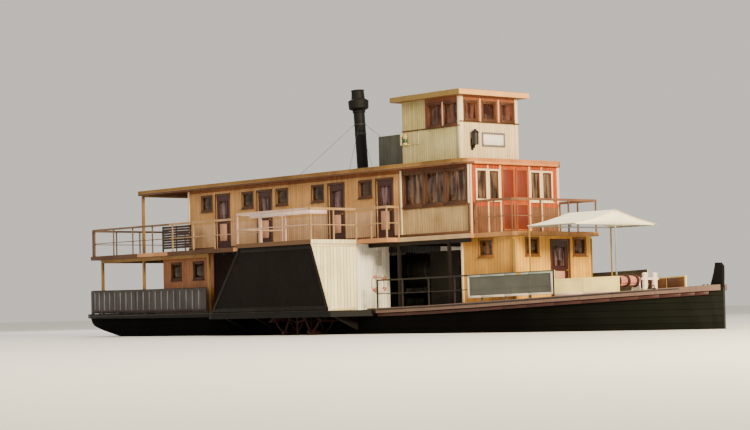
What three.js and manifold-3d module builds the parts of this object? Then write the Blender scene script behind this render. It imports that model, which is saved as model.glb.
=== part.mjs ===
// A side-wheel paddle steamer of the river kind, about 32 m long: a flat-bottomed hull with a sheered bow,
// a main deck widened by guards that carry the boxed paddle wheels, an upper deck with a long row of cabins
// and a saloon, and a wheelhouse, funnel and water tank on top.
//
// Millimetres. +X points to the bow, +Y to port and +Z up. The origin is under the middle of the boat, at the
// level of the flat bottom; the boat floats with its water line 850 above it. Starboard is the -Y side, and
// "outboard" values are distances from the centre plane.

import * as THREE from 'three';
import { mergeVertices } from 'three/addons/utils/BufferGeometryUtils.js';
import Module from 'manifold-3d';

const wasm = await Module();
wasm.setup();

// Levels
const GAP = 0.3; // left between pieces that rest on each other, and round pins
const HULL_TOP = 1660; // amidships, at the deck edge
const PLANK = 40; // main deck planking
const DECK = HULL_TOP + PLANK;
const UPPER_DECK = { low: 4020, top: 4170 };
const HURRICANE = { low: 6590, top: 6710 };
const WHEELHOUSE_TOP = 8980;

// Paddle wheels
const AXLE = { x: -300, z: 2200, radius: 100, sides: 32 };
const WHEEL = { inner: 2960, outer: 3890, radius: 1720 };

// Finishes, from the photograph
const FINISH = {
  hull: { color: 0x15120f, roughness: 0.6 },
  planking: { color: 0x8f8676, roughness: 0.85 },
  gunwale: { color: 0xd9c3b4, roughness: 0.6 },
  timber: { color: 0x2b1d15, roughness: 0.8 },
  iron: { color: 0x1b1a19, roughness: 0.55, metalness: 0.6 },
  wheelRed: { color: 0x6d2318, roughness: 0.7 },
  boxSide: { color: 0x241a12, roughness: 0.7 },
  deckEdge: { color: 0xb99a76, roughness: 0.7 },
  houseTan: { color: 0xb9a27c, roughness: 0.65 },
  saloonRed: { color: 0xc4573a, roughness: 0.6 },
  doorMaroon: { color: 0x4a1d14, roughness: 0.5 },
  roofFelt: { color: 0x8a7c68, roughness: 0.9 },
  wheelhouseBoard: { color: 0xb3ac7e, roughness: 0.65 },
  ochre: { color: 0xe0a83a, roughness: 0.55 },
  varnish: { color: 0x9c5a28, roughness: 0.4 },
  white: { color: 0xe9e2d4, roughness: 0.55 },
  canvas: { color: 0xf2ead6, roughness: 0.9 },
  tankGrey: { color: 0x4a4d4c, roughness: 0.7 },
  boilerBlack: { color: 0x201c1a, roughness: 0.5, metalness: 0.5 },
  railGrey: { color: 0x8d9092, roughness: 0.7 },
};

const steamer = new THREE.Group();

// Solids

function solidFrom(geometry) {
  const bare = geometry.index ? geometry.toNonIndexed() : geometry.clone();
  bare.deleteAttribute('normal');
  bare.deleteAttribute('uv');
  const merged = mergeVertices(bare, 1e-3);
  return new wasm.Manifold(new wasm.Mesh({
    numProp: 3,
    vertProperties: merged.attributes.position.array,
    triVerts: new Uint32Array(merged.index.array),
  }));
}

function geometryFrom(solid) {
  const { vertProperties, triVerts } = solid.getMesh();
  const geometry = new THREE.BufferGeometry();
  geometry.setAttribute('position', new THREE.BufferAttribute(new Float32Array(vertProperties), 3));
  geometry.setIndex(new THREE.BufferAttribute(new Uint32Array(triVerts), 1));
  return geometry;
}

function turnedInsideOut(geometry) {
  const index = geometry.index.array;
  for (let i = 0; i < index.length; i += 3) [index[i + 1], index[i + 2]] = [index[i + 2], index[i + 1]];
  return geometry;
}

const join = (...solids) => solids.flat().reduce((whole, piece) => whole.add(piece));
const cut = (solid, ...cutters) => cutters.flat().reduce((left, cutter) => left.subtract(cutter), solid);
const mirrored = (solid) => solidFrom(turnedInsideOut(geometryFrom(solid).scale(1, -1, 1)));
const bothSides = (solid) => join(solid, mirrored(solid));

function node(name, solid, finish) {
  const geometry = geometryFrom(solid);
  geometry.computeVertexNormals();
  const mesh = new THREE.Mesh(geometry, new THREE.MeshStandardMaterial({ flatShading: true, ...finish }));
  mesh.name = name;
  steamer.add(mesh);
}

function nodePair(name, starboardSolid, finish) {
  node(`${name}_starboard`, starboardSolid, finish);
  node(`${name}_port`, mirrored(starboardSolid), finish);
}

// A box between [low, high] pairs, given in any order.
function block(xs, ys, zs) {
  const size = [xs, ys, zs].map(([a, b]) => Math.abs(b - a));
  const middle = [xs, ys, zs].map(([a, b]) => (a + b) / 2);
  return solidFrom(new THREE.BoxGeometry(...size).translate(...middle));
}

// A flat outline with thickness. Its points are in the named plane, and it fills [low, high] along the third
// axis.
function plate(plane, points, [low, high]) {
  const shape = new THREE.Shape(points.map(([u, v]) => new THREE.Vector2(u, v)));
  const geometry = new THREE.ExtrudeGeometry(shape, { depth: high - low, bevelEnabled: false });
  const [x, y, z] = [new THREE.Vector3(1, 0, 0), new THREE.Vector3(0, 1, 0), new THREE.Vector3(0, 0, 1)];
  const turn = new THREE.Matrix4();
  if (plane === 'xy') turn.makeBasis(x, y, z).setPosition(0, 0, low);
  if (plane === 'yz') turn.makeBasis(y, z, x).setPosition(low, 0, 0);
  if (plane === 'xz') turn.makeBasis(x, z, y.negate()).setPosition(0, high, 0);
  return solidFrom(geometry.applyMatrix4(turn));
}

// A many-sided cylinder along one axis, centred on the other two coordinates.
function drum(axis, [a, b], radius, [low, high], sides = 24) {
  const geometry = new THREE.CylinderGeometry(radius, radius, high - low, sides);
  const middle = (low + high) / 2;
  if (axis === 'x') geometry.rotateZ(-Math.PI / 2).translate(middle, a, b);
  if (axis === 'y') geometry.translate(a, middle, b);
  if (axis === 'z') geometry.rotateX(Math.PI / 2).translate(a, b, middle);
  return solidFrom(geometry);
}

// The radius at the corners of a many-sided hole whose flats lie at the given radius.
const holeRadius = (flats, sides) => flats / Math.cos(Math.PI / sides);

// A skin over rings of points, each ring convex and with the same number of [x, y, z] points.
function loft(rings) {
  const count = rings[0].length;
  const index = [];
  for (let r = 0; r + 1 < rings.length; r++) {
    for (let i = 0; i < count; i++) {
      const here = r * count + i;
      const next = r * count + ((i + 1) % count);
      index.push(here, next, next + count, here, next + count, here + count);
    }
  }
  const last = (rings.length - 1) * count;
  for (let i = 1; i + 1 < count; i++) index.push(0, i + 1, i, last, last + i, last + i + 1);
  const geometry = new THREE.BufferGeometry();
  geometry.setAttribute('position', new THREE.Float32BufferAttribute(rings.flat(2), 3));
  geometry.setIndex(index);
  const solid = solidFrom(geometry);
  return solid.volume() > 0 ? solid : solidFrom(turnedInsideOut(geometry));
}

// A strip of rectangular section along a path of [x, y] points. Distances are to the right of the way the path
// runs, and heights are above level(x).
function band(path, [near, far], [low, high], level = () => 0) {
  const rights = path.slice(1).map(
    ([x, y], i) => new THREE.Vector2(y - path[i][1], path[i][0] - x).normalize(),
  );
  return loft(path.map(([x, y], i) => {
    const before = rights[Math.max(i - 1, 0)];
    const after = rights[Math.min(i, rights.length - 1)];
    const mitre = before.clone().add(after).normalize();
    mitre.divideScalar(mitre.dot(after));
    const point = (reach, height) => [x + mitre.x * reach, y + mitre.y * reach, level(x) + height];
    return [point(near, low), point(far, low), point(far, high), point(near, high)];
  }));
}

// Points no further apart than the pitch along a path of [x, y] points, with its corners.
function spaced(path, pitch) {
  const points = [path[0]];
  path.slice(1).forEach(([x, y], i) => {
    const [fromX, fromY] = path[i];
    const steps = Math.ceil(Math.hypot(x - fromX, y - fromY) / pitch);
    for (let k = 1; k <= steps; k++) {
      points.push([fromX + ((x - fromX) * k) / steps, fromY + ((y - fromY) * k) / steps]);
    }
  });
  return points;
}

// Rails along a path with square posts under them. rails is a list of [low, high] heights above level(x).
function railing(path, { rails, width, post, pitch, foot, level = () => 0 }) {
  const top = Math.max(...rails.flat());
  const bands = rails.map((heights) => band(path, [-width / 2, width / 2], heights, level));
  const posts = spaced(path, pitch).map(([x, y]) => block(
    [x - post / 2, x + post / 2],
    [y - post / 2, y + post / 2],
    [level(x) + foot, level(x) + top - 5],
  ));
  return join(bands, posts);
}

// Hull

// Each station: its place along the boat, the half widths at the deck edge, at the top of the bilge and at the
// bottom, and the height of the bottom.
const STATIONS = [
  { x: -15925, deck: 2150, bilge: 2060, bottom: 1960, low: 1440 },
  { x: -15800, deck: 2400, bilge: 2320, bottom: 2200, low: 1370 },
  { x: -15400, deck: 2580, bilge: 2500, bottom: 2350, low: 1250 },
  { x: -14800, deck: 2680, bilge: 2600, bottom: 2420, low: 1110 },
  { x: -13500, deck: 2760, bilge: 2690, bottom: 2460, low: 860 },
  { x: -12000, deck: 2800, bilge: 2760, bottom: 2480, low: 400 },
  { x: -10500, deck: 2800, bilge: 2790, bottom: 2500, low: 0 },
  { x: -8000, deck: 2800, bilge: 2800, bottom: 2520, low: 0 },
  { x: 2000, deck: 2800, bilge: 2800, bottom: 2520, low: 0 },
  { x: 5500, deck: 2800, bilge: 2780, bottom: 2500, low: 0 },
  { x: 8000, deck: 2740, bilge: 2660, bottom: 2350, low: 0 },
  { x: 10000, deck: 2540, bilge: 2340, bottom: 2000, low: 0 },
  { x: 12000, deck: 2120, bilge: 1800, bottom: 1440, low: 0 },
  { x: 13800, deck: 1480, bilge: 1120, bottom: 800, low: 0 },
  { x: 15000, deck: 850, bilge: 560, bottom: 350, low: 0 },
  { x: 15700, deck: 360, bilge: 210, bottom: 120, low: 0 },
  { x: 15980, deck: 70, bilge: 60, bottom: 50, low: 0 },
];
const BILGE_HEIGHT = 450;

// The deck edge rises 490 to the bow and 60 to the stern.
function sheer(x) {
  if (x > 2000) return 490 * ((x - 2000) / 14000) ** 1.5;
  return x < -8000 ? 60 * ((x + 8000) / 8000) ** 2 : 0;
}

// A value that runs straight from station to station.
function alongHull(x, valueAt) {
  const next = Math.max(1, STATIONS.findIndex((station) => station.x >= x));
  const [a, b] = [STATIONS[next - 1], STATIONS[next]];
  return valueAt(a) + ((valueAt(b) - valueAt(a)) * (x - a.x)) / (b.x - a.x);
}

const hullTop = (x) => alongHull(x, (station) => HULL_TOP + sheer(station.x));
const deckTop = (x) => hullTop(x) + PLANK;
const deckHalf = (x) => alongHull(x, (station) => station.deck);
const stationsBetween = (from, to) => [
  from,
  ...STATIONS.map(({ x }) => x).filter((x) => x > from && x < to),
  to,
];

const hullRings = STATIONS.map(({ x, deck, bilge, bottom, low }) => {
  const top = HULL_TOP + sheer(x);
  const bilgeTop = low + Math.min(BILGE_HEIGHT, 0.4 * (top - low));
  const turn = [bottom + (bilge - bottom) * 0.7, low + (bilgeTop - low) * 0.3];
  const half = [[deck, top], [bilge, bilgeTop], turn, [bottom, low]];
  const starboard = half.map(([out, z]) => [x, -out, z]);
  const port = half.map(([out, z]) => [x, out, z]).reverse();
  return [...starboard, ...port];
});

const RUDDER_STOCK = { x: -14150, radius: 50, top: 1200, sides: 24 };
const SKEG_TOP = 1050; // inside the hull, whose bottom is lower all along the skeg
const skeg = block([-14000, -10600], [-60, 60], [0, SKEG_TOP]);
const stockHole = drum('z', [RUDDER_STOCK.x, 0], holeRadius(RUDDER_STOCK.radius + GAP, RUDDER_STOCK.sides),
  [500, RUDDER_STOCK.top + 10], RUDDER_STOCK.sides);
node('hull', cut(join(loft(hullRings), skeg), stockHole), FINISH.hull);

// Everything under the top of the main deck, to trim what stands on it. Such pieces are drawn from TRIM_FROM up.
const TRIM_FROM = 1500;
const underDeck = plate('xz', [
  ...stationsBetween(-15925, 15980).map((x) => [x, deckTop(x) + GAP]),
  [15980, -500],
  [-15925, -500],
], [-6000, 6000]);

const PLANK_EDGE = 5; // planking stops this far inside the hull's edge
node('main_deck', loft(stationsBetween(-15800, 15450).map((x) => {
  const half = deckHalf(x) - PLANK_EDGE;
  return [
    [x, -half, hullTop(x) + GAP],
    [x, half, hullTop(x) + GAP],
    [x, half, deckTop(x)],
    [x, -half, deckTop(x)],
  ];
})), FINISH.planking);

// Guards: the gunwales, and between them the platform outboard of the hull that carries the paddle box
const GUNWALE = { out: 75, low: -100, high: 75 };
const SPONSON = { low: 1480, top: DECK, out: 4100, aft: -5000, fore: 1960, aftTip: -6900, foreTip: 2770 };
const HULL_SIDE = 2800;

const gunwale = (path) => band(path, [GAP, GUNWALE.out], [GUNWALE.low, GUNWALE.high], hullTop);
const edgePath = (from, to) => stationsBetween(from, to).map((x) => [x, -deckHalf(x)]);
const sponsonDeck = cut(
  plate('xy', [
    [SPONSON.aftTip, -HULL_SIDE - GAP],
    [SPONSON.aft, -SPONSON.out],
    [SPONSON.fore, -SPONSON.out],
    [SPONSON.foreTip, -HULL_SIDE - GAP],
  ], [SPONSON.low, SPONSON.top]),
  block([-2330, 1810], [-3940, -2870], [1400, 1800]),
);
const shaftHole = (radius = AXLE.radius + GAP) => drum('y', [AXLE.x, AXLE.z], holeRadius(radius, AXLE.sides),
  [-4500, 4500], AXLE.sides);
const outboardBearing = cut(block([-450, -150], [-4030, -3945], [1600, 2350]), shaftHole());
const sponsonKnees = [-4400, -2600, 1870].map((x) => plate('yz', [
  [-HULL_SIDE - GAP, SPONSON.low + 20],
  [-3900, SPONSON.low + 20],
  [-HULL_SIDE - GAP, 1000],
], [x - 40, x + 40]));
nodePair('guard', join(
  gunwale(edgePath(2500, 15940)),
  gunwale([[-15925, -GAP / 2], ...edgePath(-15925, -6800)]),
  sponsonDeck,
  outboardBearing,
  sponsonKnees,
), FINISH.gunwale);

node('stem_post', plate('xz', [
  [15480, hullTop(15480) + GAP],
  [15700, hullTop(15700) + GAP],
  [15980, hullTop(15980) + GAP],
  [16000, 2600],
  [16000, 2790],
  [15900, 2900],
  [15720, 2900],
  [15650, 2600],
], [-55, 55]), FINISH.timber);

// Mooring bitts: two posts and a cross bar on a base plate
const BITTS = [
  { name: 'mooring_bitts_fore', x: 13000 },
  { name: 'mooring_bitts_aft', x: -15000 },
];
for (const { name, x } of BITTS) {
  const level = deckTop(x);
  node(name, cut(join(
    block([x - 150, x + 150], [-400, 400], [level - 30, level + 50]),
    [-230, 230].map((y) => drum('z', [x, y], 90, [level, level + 600], 16)),
    block([x - 40, x + 40], [-380, 380], [level + 400, level + 470]),
  ), underDeck), FINISH.timber);
}

// Windlass on the foredeck: a drum with warping heads that turns in two cheeks
const WINDLASS = { x: 11960, z: 2430, axle: 40, cheekIn: 480, cheekOut: 560, play: 6, sides: 24 };
const WARPING_HEAD = [[0, 0], [190, 0], [120, 60], [105, 130], [130, 200], [180, 250], [0, 250]];
const windlassRound = (radius, span, sides = 20) => drum('y', [WINDLASS.x, WINDLASS.z], radius, span, sides);
node('windlass_frame', cut(
  bothSides(join(
    plate('xz', [
      [WINDLASS.x - 280, TRIM_FROM],
      [WINDLASS.x + 280, TRIM_FROM],
      [WINDLASS.x + 110, WINDLASS.z + 110],
      [WINDLASS.x - 110, WINDLASS.z + 110],
    ], [-WINDLASS.cheekOut, -WINDLASS.cheekIn]),
    block([WINDLASS.x - 200, WINDLASS.x + 200], [-WINDLASS.cheekOut, 10], [TRIM_FROM, deckTop(WINDLASS.x) + 60]),
  )),
  windlassRound(holeRadius(WINDLASS.axle + GAP, WINDLASS.sides), [-700, 700], WINDLASS.sides),
  underDeck,
), FINISH.white);
const warpingHead = new THREE.LatheGeometry(WARPING_HEAD.map(([r, z]) => new THREE.Vector2(r, z)), 20);
warpingHead.translate(WINDLASS.x, -WINDLASS.cheekOut - WINDLASS.play - 250, WINDLASS.z);
const windlassReach = WINDLASS.cheekIn - WINDLASS.play;
node('windlass_drum', join(
  bothSides(solidFrom(warpingHead)),
  windlassRound(150, [-windlassReach, windlassReach]),
  [-windlassReach + 40, 0, windlassReach - 40].map((y) => windlassRound(200, [y - 40, y + 40])),
  windlassRound(WINDLASS.axle, [-WINDLASS.cheekOut - 50, WINDLASS.cheekOut + 50], WINDLASS.sides),
), FINISH.wheelRed);

node('rudder', join(
  block([RUDDER_STOCK.x - 950, RUDDER_STOCK.x + 50], [-30, 30], [120, 940]),
  drum('z', [RUDDER_STOCK.x, 0], RUDDER_STOCK.radius, [120, RUDDER_STOCK.top], RUDDER_STOCK.sides),
), FINISH.iron);

// Paddle boxes: a shell open underneath and towards the hull. Its sides lean outwards going up, and its aft
// face slopes. Ends of the box at its foot and at its head:
const BOX_FOOT = { z: DECK, out: 4100, aft: -5000 };
const BOX_HEAD = { z: UPPER_DECK.low, out: 4840, aft: -2270 };
const BOX_FRONT = 1890;
const BOX_WALL = 50;

function boxRing(z, inset, inner) {
  const share = (z - BOX_FOOT.z) / (BOX_HEAD.z - BOX_FOOT.z);
  const out = BOX_FOOT.out + (BOX_HEAD.out - BOX_FOOT.out) * share - inset;
  const aft = BOX_FOOT.aft + (BOX_HEAD.aft - BOX_FOOT.aft) * share + inset;
  const front = BOX_FRONT - inset;
  return [[aft, -inner, z], [aft, -out, z], [front, -out, z], [front, -inner, z]];
}

const BOX_LOW = BOX_FOOT.z + GAP;
const BOX_HIGH = BOX_HEAD.z - GAP;
nodePair('paddle_box', cut(
  loft([boxRing(BOX_LOW, 0, HULL_SIDE + GAP), boxRing(BOX_HIGH, 0, HULL_SIDE + GAP)]),
  loft([boxRing(BOX_LOW - 100, BOX_WALL, HULL_SIDE - 100), boxRing(BOX_HIGH + 100, BOX_WALL, HULL_SIDE - 100)]),
), FINISH.boxSide);

// Engine room: side walls along the paddle boxes and a bulkhead at each end, with the middle left open
const ROOM = { aft: -4300, fore: BOX_FRONT, wall: 60, out: HULL_SIDE - GAP, gap: 1250, lintel: 3720 };
const roomSide = cut(
  block([ROOM.aft, ROOM.fore], [-ROOM.out, -ROOM.out + ROOM.wall], [BOX_LOW, BOX_HIGH]),
  shaftHole(AXLE.radius + 20),
);
const foreBulkhead = cut(
  block([ROOM.fore - ROOM.wall, ROOM.fore], [-ROOM.out, -ROOM.gap], [BOX_LOW, BOX_HIGH]),
  block([ROOM.fore - 200, ROOM.fore + 200], [-2360, -1570], [3250, 3800]),
);
const aftBulkhead = block([ROOM.aft, ROOM.aft + ROOM.wall], [-ROOM.out, -ROOM.gap], [BOX_LOW, BOX_HIGH]);
const lintels = [ROOM.aft, ROOM.fore - ROOM.wall].map((x) => block([x, x + ROOM.wall], [-ROOM.gap - 10, 10],
  [ROOM.lintel, BOX_HIGH]));
node('engine_room_walls', bothSides(join(roomSide, foreBulkhead, aftBulkhead, lintels)), FINISH.white);

// Decks above the main deck

// A deck outline given on its starboard side from stern to bow, completed on the other side.
const deckOutline = (half) => [...half, ...half.map(([x, y]) => [x, -y]).reverse()];

// The funnel leans aft.
const FUNNEL = { x: -660, foot: 3700, radius: 210, rake: THREE.MathUtils.degToRad(4) };
const funnelAxisX = (z) => FUNNEL.x - (z - FUNNEL.foot) * Math.tan(FUNNEL.rake);
const funnelHole = (z) => drum('z', [funnelAxisX(z), 0], FUNNEL.radius + 50, [z - 300, z + 300], 32);

// The upper deck's sides, with a wing over each paddle box and two steps in forward of them
const SIDE = { out: 2850, aft: -14800, fore: 3600 };
const WING = { out: 4900, aft: -2330, fore: 1960 };
const SALOON_DECK = { out: 2300, fore: 7150 };
const UPPER_OUTLINE = [
  [-15600, -2450],
  [-15200, -2700],
  [SIDE.aft, -SIDE.out],
  [WING.aft, -SIDE.out],
  [WING.aft, -WING.out],
  [WING.fore, -WING.out],
  [WING.fore, -SIDE.out],
  [SIDE.fore, -SIDE.out],
  [SIDE.fore, -SALOON_DECK.out],
  [SALOON_DECK.fore, -SALOON_DECK.out],
  [SALOON_DECK.fore, -2080],
  [8950, -2080],
];
const STAIR = { foot: -13900, head: -12200, inner: 900, outer: 1650 };
node('upper_deck', cut(
  plate('xy', deckOutline(UPPER_OUTLINE), [UPPER_DECK.low, UPPER_DECK.top]),
  funnelHole(UPPER_DECK.low + 75),
  block([STAIR.foot - 100, STAIR.head], [STAIR.inner, STAIR.outer], [3900, 4300]),
), FINISH.deckEdge);

const hurricaneOutline = deckOutline([[-12050, -2450], [6500, -2450], [6970, -2330], [7200, -2050]]);
node('hurricane_deck', cut(
  plate('xy', hurricaneOutline, [HURRICANE.low, HURRICANE.top]),
  funnelHole(HURRICANE.low + 60),
), FINISH.roofFelt);

// Frames that carry the upper deck where no cabin does. Beams lie straight under the deck.
const BEAM = { low: 3880, high: UPPER_DECK.low - GAP };
const POST = 100;

function deckFrame({ out, posts, fore, aft, crossBeams }) {
  const around = (middle) => [middle - POST / 2, middle + POST / 2];
  const side = join(
    block([aft, fore], around(-out), [BEAM.low, BEAM.high]),
    posts.map((x) => block(around(x), around(-out), [TRIM_FROM, BEAM.high])),
    crossBeams.map((x) => block(around(x), [-out, 10], [BEAM.low, BEAM.high])),
  );
  return cut(bothSides(side), underDeck);
}

node('aft_frame', deckFrame({
  out: 2450,
  aft: -14750,
  fore: -7250,
  posts: [-14700, -11700, -7300],
  crossBeams: [-14700, -11700],
}), FINISH.deckEdge);
node('fore_frame', deckFrame({
  out: 2250,
  aft: 1980,
  fore: SALOON_DECK.fore - 10,
  posts: [3550, 6100],
  crossBeams: [3550, 6100],
}), FINISH.deckEdge);

// Hinged doors. In a door's own frame the hinge pin stands at the origin, u runs along the wall to the latch,
// v points into the room, and z starts at the floor.
const DOOR = { wide: 800, thick: 45, play: 10, pin: 12, jamb: 2 };
const OPENING_WIDE = DOOR.wide + 2 * DOOR.play;

function doorLeaf(tall, pane) {
  const start = DOOR.jamb + DOOR.play;
  const face = -5.3;
  const leaf = cut(
    block([start, start + DOOR.wide], [face - DOOR.thick, face], [DOOR.play, tall - DOOR.play]),
    block([start + 150, start + DOOR.wide - 150], [face - 100, face + 100], pane),
  );
  const hinges = [250, tall - 350].map((z) => join(
    drum('z', [0, 0], DOOR.pin, [z, z + 100], 12),
    block([0, 60], [face - 5, 6], [z, z + 100]),
  ));
  return join(leaf, hinges);
}

// Puts a door's solid with its hinge at [x, y], its foot at z and its u and v along the given directions.
function hung(leaf, [x, y, z], u, v) {
  const turn = new THREE.Matrix4().makeBasis(new THREE.Vector3(...u), new THREE.Vector3(...v),
    new THREE.Vector3(0, 0, 1)).setPosition(x, y, z);
  return solidFrom(geometryFrom(leaf).applyMatrix4(turn));
}

const HINGE_SET = DOOR.pin + GAP; // how far the pin stands inside the wall's inner face

// Upper house: the cabins aft and the saloon forward, under the hurricane deck
const HOUSE = { aft: -9000, fore: 7050, out: 2150, wall: 60 };
const HOUSE_LOW = UPPER_DECK.top + GAP;
const HOUSE_HIGH = HURRICANE.low - GAP;
const CABIN_DOOR = { tall: 2070, pane: [1150, 1850] };
const CABIN_DOOR_STARTS = [-7145, -4525, -315, 2325]; // aft edge of each opening
const CABIN_WINDOWS = { wide: 620, tall: 520, z: 5980, centres: [-7750, -5150, -3050, -950, 1720] };
const SALOON_WINDOWS = { low: 5270, high: 6350, spans: [[3760, 4710], [4830, 5780], [5900, 6850]] };

const throughSide = (xs, zs) => block(xs, [-HOUSE.out - 50, -HOUSE.out + HOUSE.wall + 50], zs);
nodePair('upper_house_side', cut(
  block([HOUSE.aft, HOUSE.fore], [-HOUSE.out, -HOUSE.out + HOUSE.wall], [HOUSE_LOW, HOUSE_HIGH]),
  CABIN_DOOR_STARTS.map((x) => throughSide(
    [x, x + OPENING_WIDE],
    [HOUSE_LOW - 50, HOUSE_LOW + CABIN_DOOR.tall],
  )),
  CABIN_WINDOWS.centres.map((x) => throughSide(
    [x - CABIN_WINDOWS.wide / 2, x + CABIN_WINDOWS.wide / 2],
    [CABIN_WINDOWS.z - CABIN_WINDOWS.tall / 2, CABIN_WINDOWS.z + CABIN_WINDOWS.tall / 2],
  )),
  SALOON_WINDOWS.spans.map((xs) => throughSide(xs, [SALOON_WINDOWS.low, SALOON_WINDOWS.high])),
), FINISH.houseTan);

const houseInside = HOUSE.out - HOUSE.wall - GAP;
const FRONT_WINDOWS = { wide: 420, low: 5340, high: 6300, centres: [-1580, -1000, 1000, 1580] };
node('upper_house_front', cut(
  block([HOUSE.fore - HOUSE.wall, HOUSE.fore], [-houseInside, houseInside], [HOUSE_LOW, HOUSE_HIGH]),
  FRONT_WINDOWS.centres.map((y) => block([HOUSE.fore - 200, HOUSE.fore + 200],
    [y - FRONT_WINDOWS.wide / 2, y + FRONT_WINDOWS.wide / 2], [FRONT_WINDOWS.low, FRONT_WINDOWS.high])),
), FINISH.saloonRed);
node('upper_house_aft', cut(
  block([HOUSE.aft, HOUSE.aft + HOUSE.wall], [-houseInside, houseInside], [HOUSE_LOW, HOUSE_HIGH]),
  [-1200, 1200].map((y) => block([HOUSE.aft - 200, HOUSE.aft + 200], [y - 350, y + 350], [5400, 6240])),
), FINISH.houseTan);

const houseHingeY = -(HOUSE.out - HOUSE.wall) + HINGE_SET;
CABIN_DOOR_STARTS.forEach((start, i) => {
  const leaf = hung(doorLeaf(CABIN_DOOR.tall, CABIN_DOOR.pane), [start - DOOR.jamb, houseHingeY, HOUSE_LOW],
    [1, 0, 0], [0, 1, 0]);
  node(`cabin_door_starboard_${i + 1}`, leaf, FINISH.doorMaroon);
  node(`cabin_door_port_${i + 1}`, mirrored(leaf), FINISH.doorMaroon);
});

// Verandah aft of the cabins: two posts and a cross beam under the hurricane deck
const VERANDAH = { x: -11900, out: 2300 };
node('verandah_frame', bothSides(join(
  block([VERANDAH.x - 50, VERANDAH.x + 50], [-VERANDAH.out - 50, -VERANDAH.out + 50], [HOUSE_LOW, HOUSE_HIGH]),
  block([VERANDAH.x - 50, VERANDAH.x + 50], [-VERANDAH.out, 10], [HOUSE_HIGH - 120, HOUSE_HIGH]),
)), FINISH.houseTan);

// Wheelhouse
const HELM = { aft: 2900, fore: 5880, out: 1390, wall: 50 };
const HELM_LOW = HURRICANE.top + GAP;
const HELM_HIGH = WHEELHOUSE_TOP - GAP;
const HELM_WINDOW = { sideSill: 8020, frontSill: 8170, head: 8770 };
const HELM_DOOR = { tall: 1950, pane: [1100, 1750] };
const helmInside = HELM.out - HELM.wall;

const helmSide = cut(
  block([HELM.aft, HELM.fore - HELM.wall - GAP], [-HELM.out, -helmInside], [HELM_LOW, HELM_HIGH]),
  [[4280, 4960], [5060, 5720]].map((xs) => block(xs, [-HELM.out - 50, -helmInside + 50],
    [HELM_WINDOW.sideSill, HELM_WINDOW.head])),
);
const helmAft = cut(
  block([HELM.aft, HELM.aft + HELM.wall], [-HELM.out, HELM.out], [HELM_LOW, HELM_HIGH]),
  block([HELM.aft - 50, HELM.aft + 100], [-OPENING_WIDE / 2, OPENING_WIDE / 2],
    [HELM_LOW - 50, HELM_LOW + HELM_DOOR.tall]),
);
// A sidelight on each side: a long board with a cross board aft, and the lamp between them
const SIDELIGHT = {
  aft: 3000, fore: 3750, low: 7450, high: 7850, proud: 200, lampX: 3160, lampOut: 110, lamp: 68,
};
const sidelight = join(
  block([SIDELIGHT.aft, SIDELIGHT.fore], [-HELM.out - 20, -HELM.out + 10], [SIDELIGHT.low, SIDELIGHT.high]),
  block([SIDELIGHT.aft, SIDELIGHT.aft + 40], [-HELM.out - SIDELIGHT.proud, -HELM.out],
    [SIDELIGHT.low, SIDELIGHT.high]),
  block([SIDELIGHT.aft, SIDELIGHT.lampX + 100], [-HELM.out - SIDELIGHT.proud, -HELM.out],
    [SIDELIGHT.low, SIDELIGHT.low + 20]),
  drum('z', [SIDELIGHT.lampX, -HELM.out - SIDELIGHT.lampOut], SIDELIGHT.lamp,
    [SIDELIGHT.low + 10, SIDELIGHT.high - 110], 12),
);
node('wheelhouse_shell', join(bothSides(join(helmSide, sidelight)), helmAft), FINISH.wheelhouseBoard);
// The lamp under the front windows stands on a bracket.
const FRONT_LAMP = { x: HELM.fore + 170, y: -860, low: 7260, high: 7760, radius: 120 };
const frontLamp = join(
  block(
    [HELM.fore - 10, FRONT_LAMP.x],
    [FRONT_LAMP.y - 25, FRONT_LAMP.y + 25],
    [FRONT_LAMP.low, FRONT_LAMP.low + 50],
  ),
  drum('z', [FRONT_LAMP.x, FRONT_LAMP.y], FRONT_LAMP.radius, [FRONT_LAMP.low + 20, FRONT_LAMP.high - 90], 12),
);
node('wheelhouse_front', join(frontLamp, cut(
  block([HELM.fore - HELM.wall, HELM.fore], [-HELM.out, HELM.out], [HELM_LOW, HELM_HIGH]),
  [[-1170, -600], [-290, 290], [600, 1170]].map((ys) => block([HELM.fore - 100, HELM.fore + 50], ys,
    [HELM_WINDOW.frontSill, HELM_WINDOW.head])),
)), FINISH.white);
node('wheelhouse_roof', loft([
  { z: WHEELHOUSE_TOP, out: 1690, aft: 2600, fore: 6180 },
  { z: WHEELHOUSE_TOP + 180, out: 1690, aft: 2600, fore: 6180 },
  { z: WHEELHOUSE_TOP + 250, out: 1400, aft: 2900, fore: 5870 },
].map(({ z, out, aft, fore }) => [
  [aft, -out, z],
  [fore, -out, z],
  [fore, out, z],
  [aft, out, z],
])), FINISH.deckEdge);
node('wheelhouse_door', hung(
  doorLeaf(HELM_DOOR.tall, HELM_DOOR.pane),
  [HELM.aft + HELM.wall + HINGE_SET, OPENING_WIDE / 2 + DOOR.jamb, HELM_LOW],
  [0, -1, 0],
  [1, 0, 0],
), FINISH.doorMaroon);

// Steering wheel on its stand. The wheel and its axle turn together in the stand's head.
const STEERING = { x: 4980, z: 7700, rim: 700, rimWidth: 60, handles: 800, axle: 30, spokes: 8, sides: 16 };

// A ring of square section about the X or Y axis, as an outline with a hole.
function ring(axis, [a, b], inner, outer, [low, high], sides) {
  return cut(
    drum(axis, [a, b], outer, [low, high], sides),
    drum(axis, [a, b], inner, [low - 50, high + 50], sides),
  );
}

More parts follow.
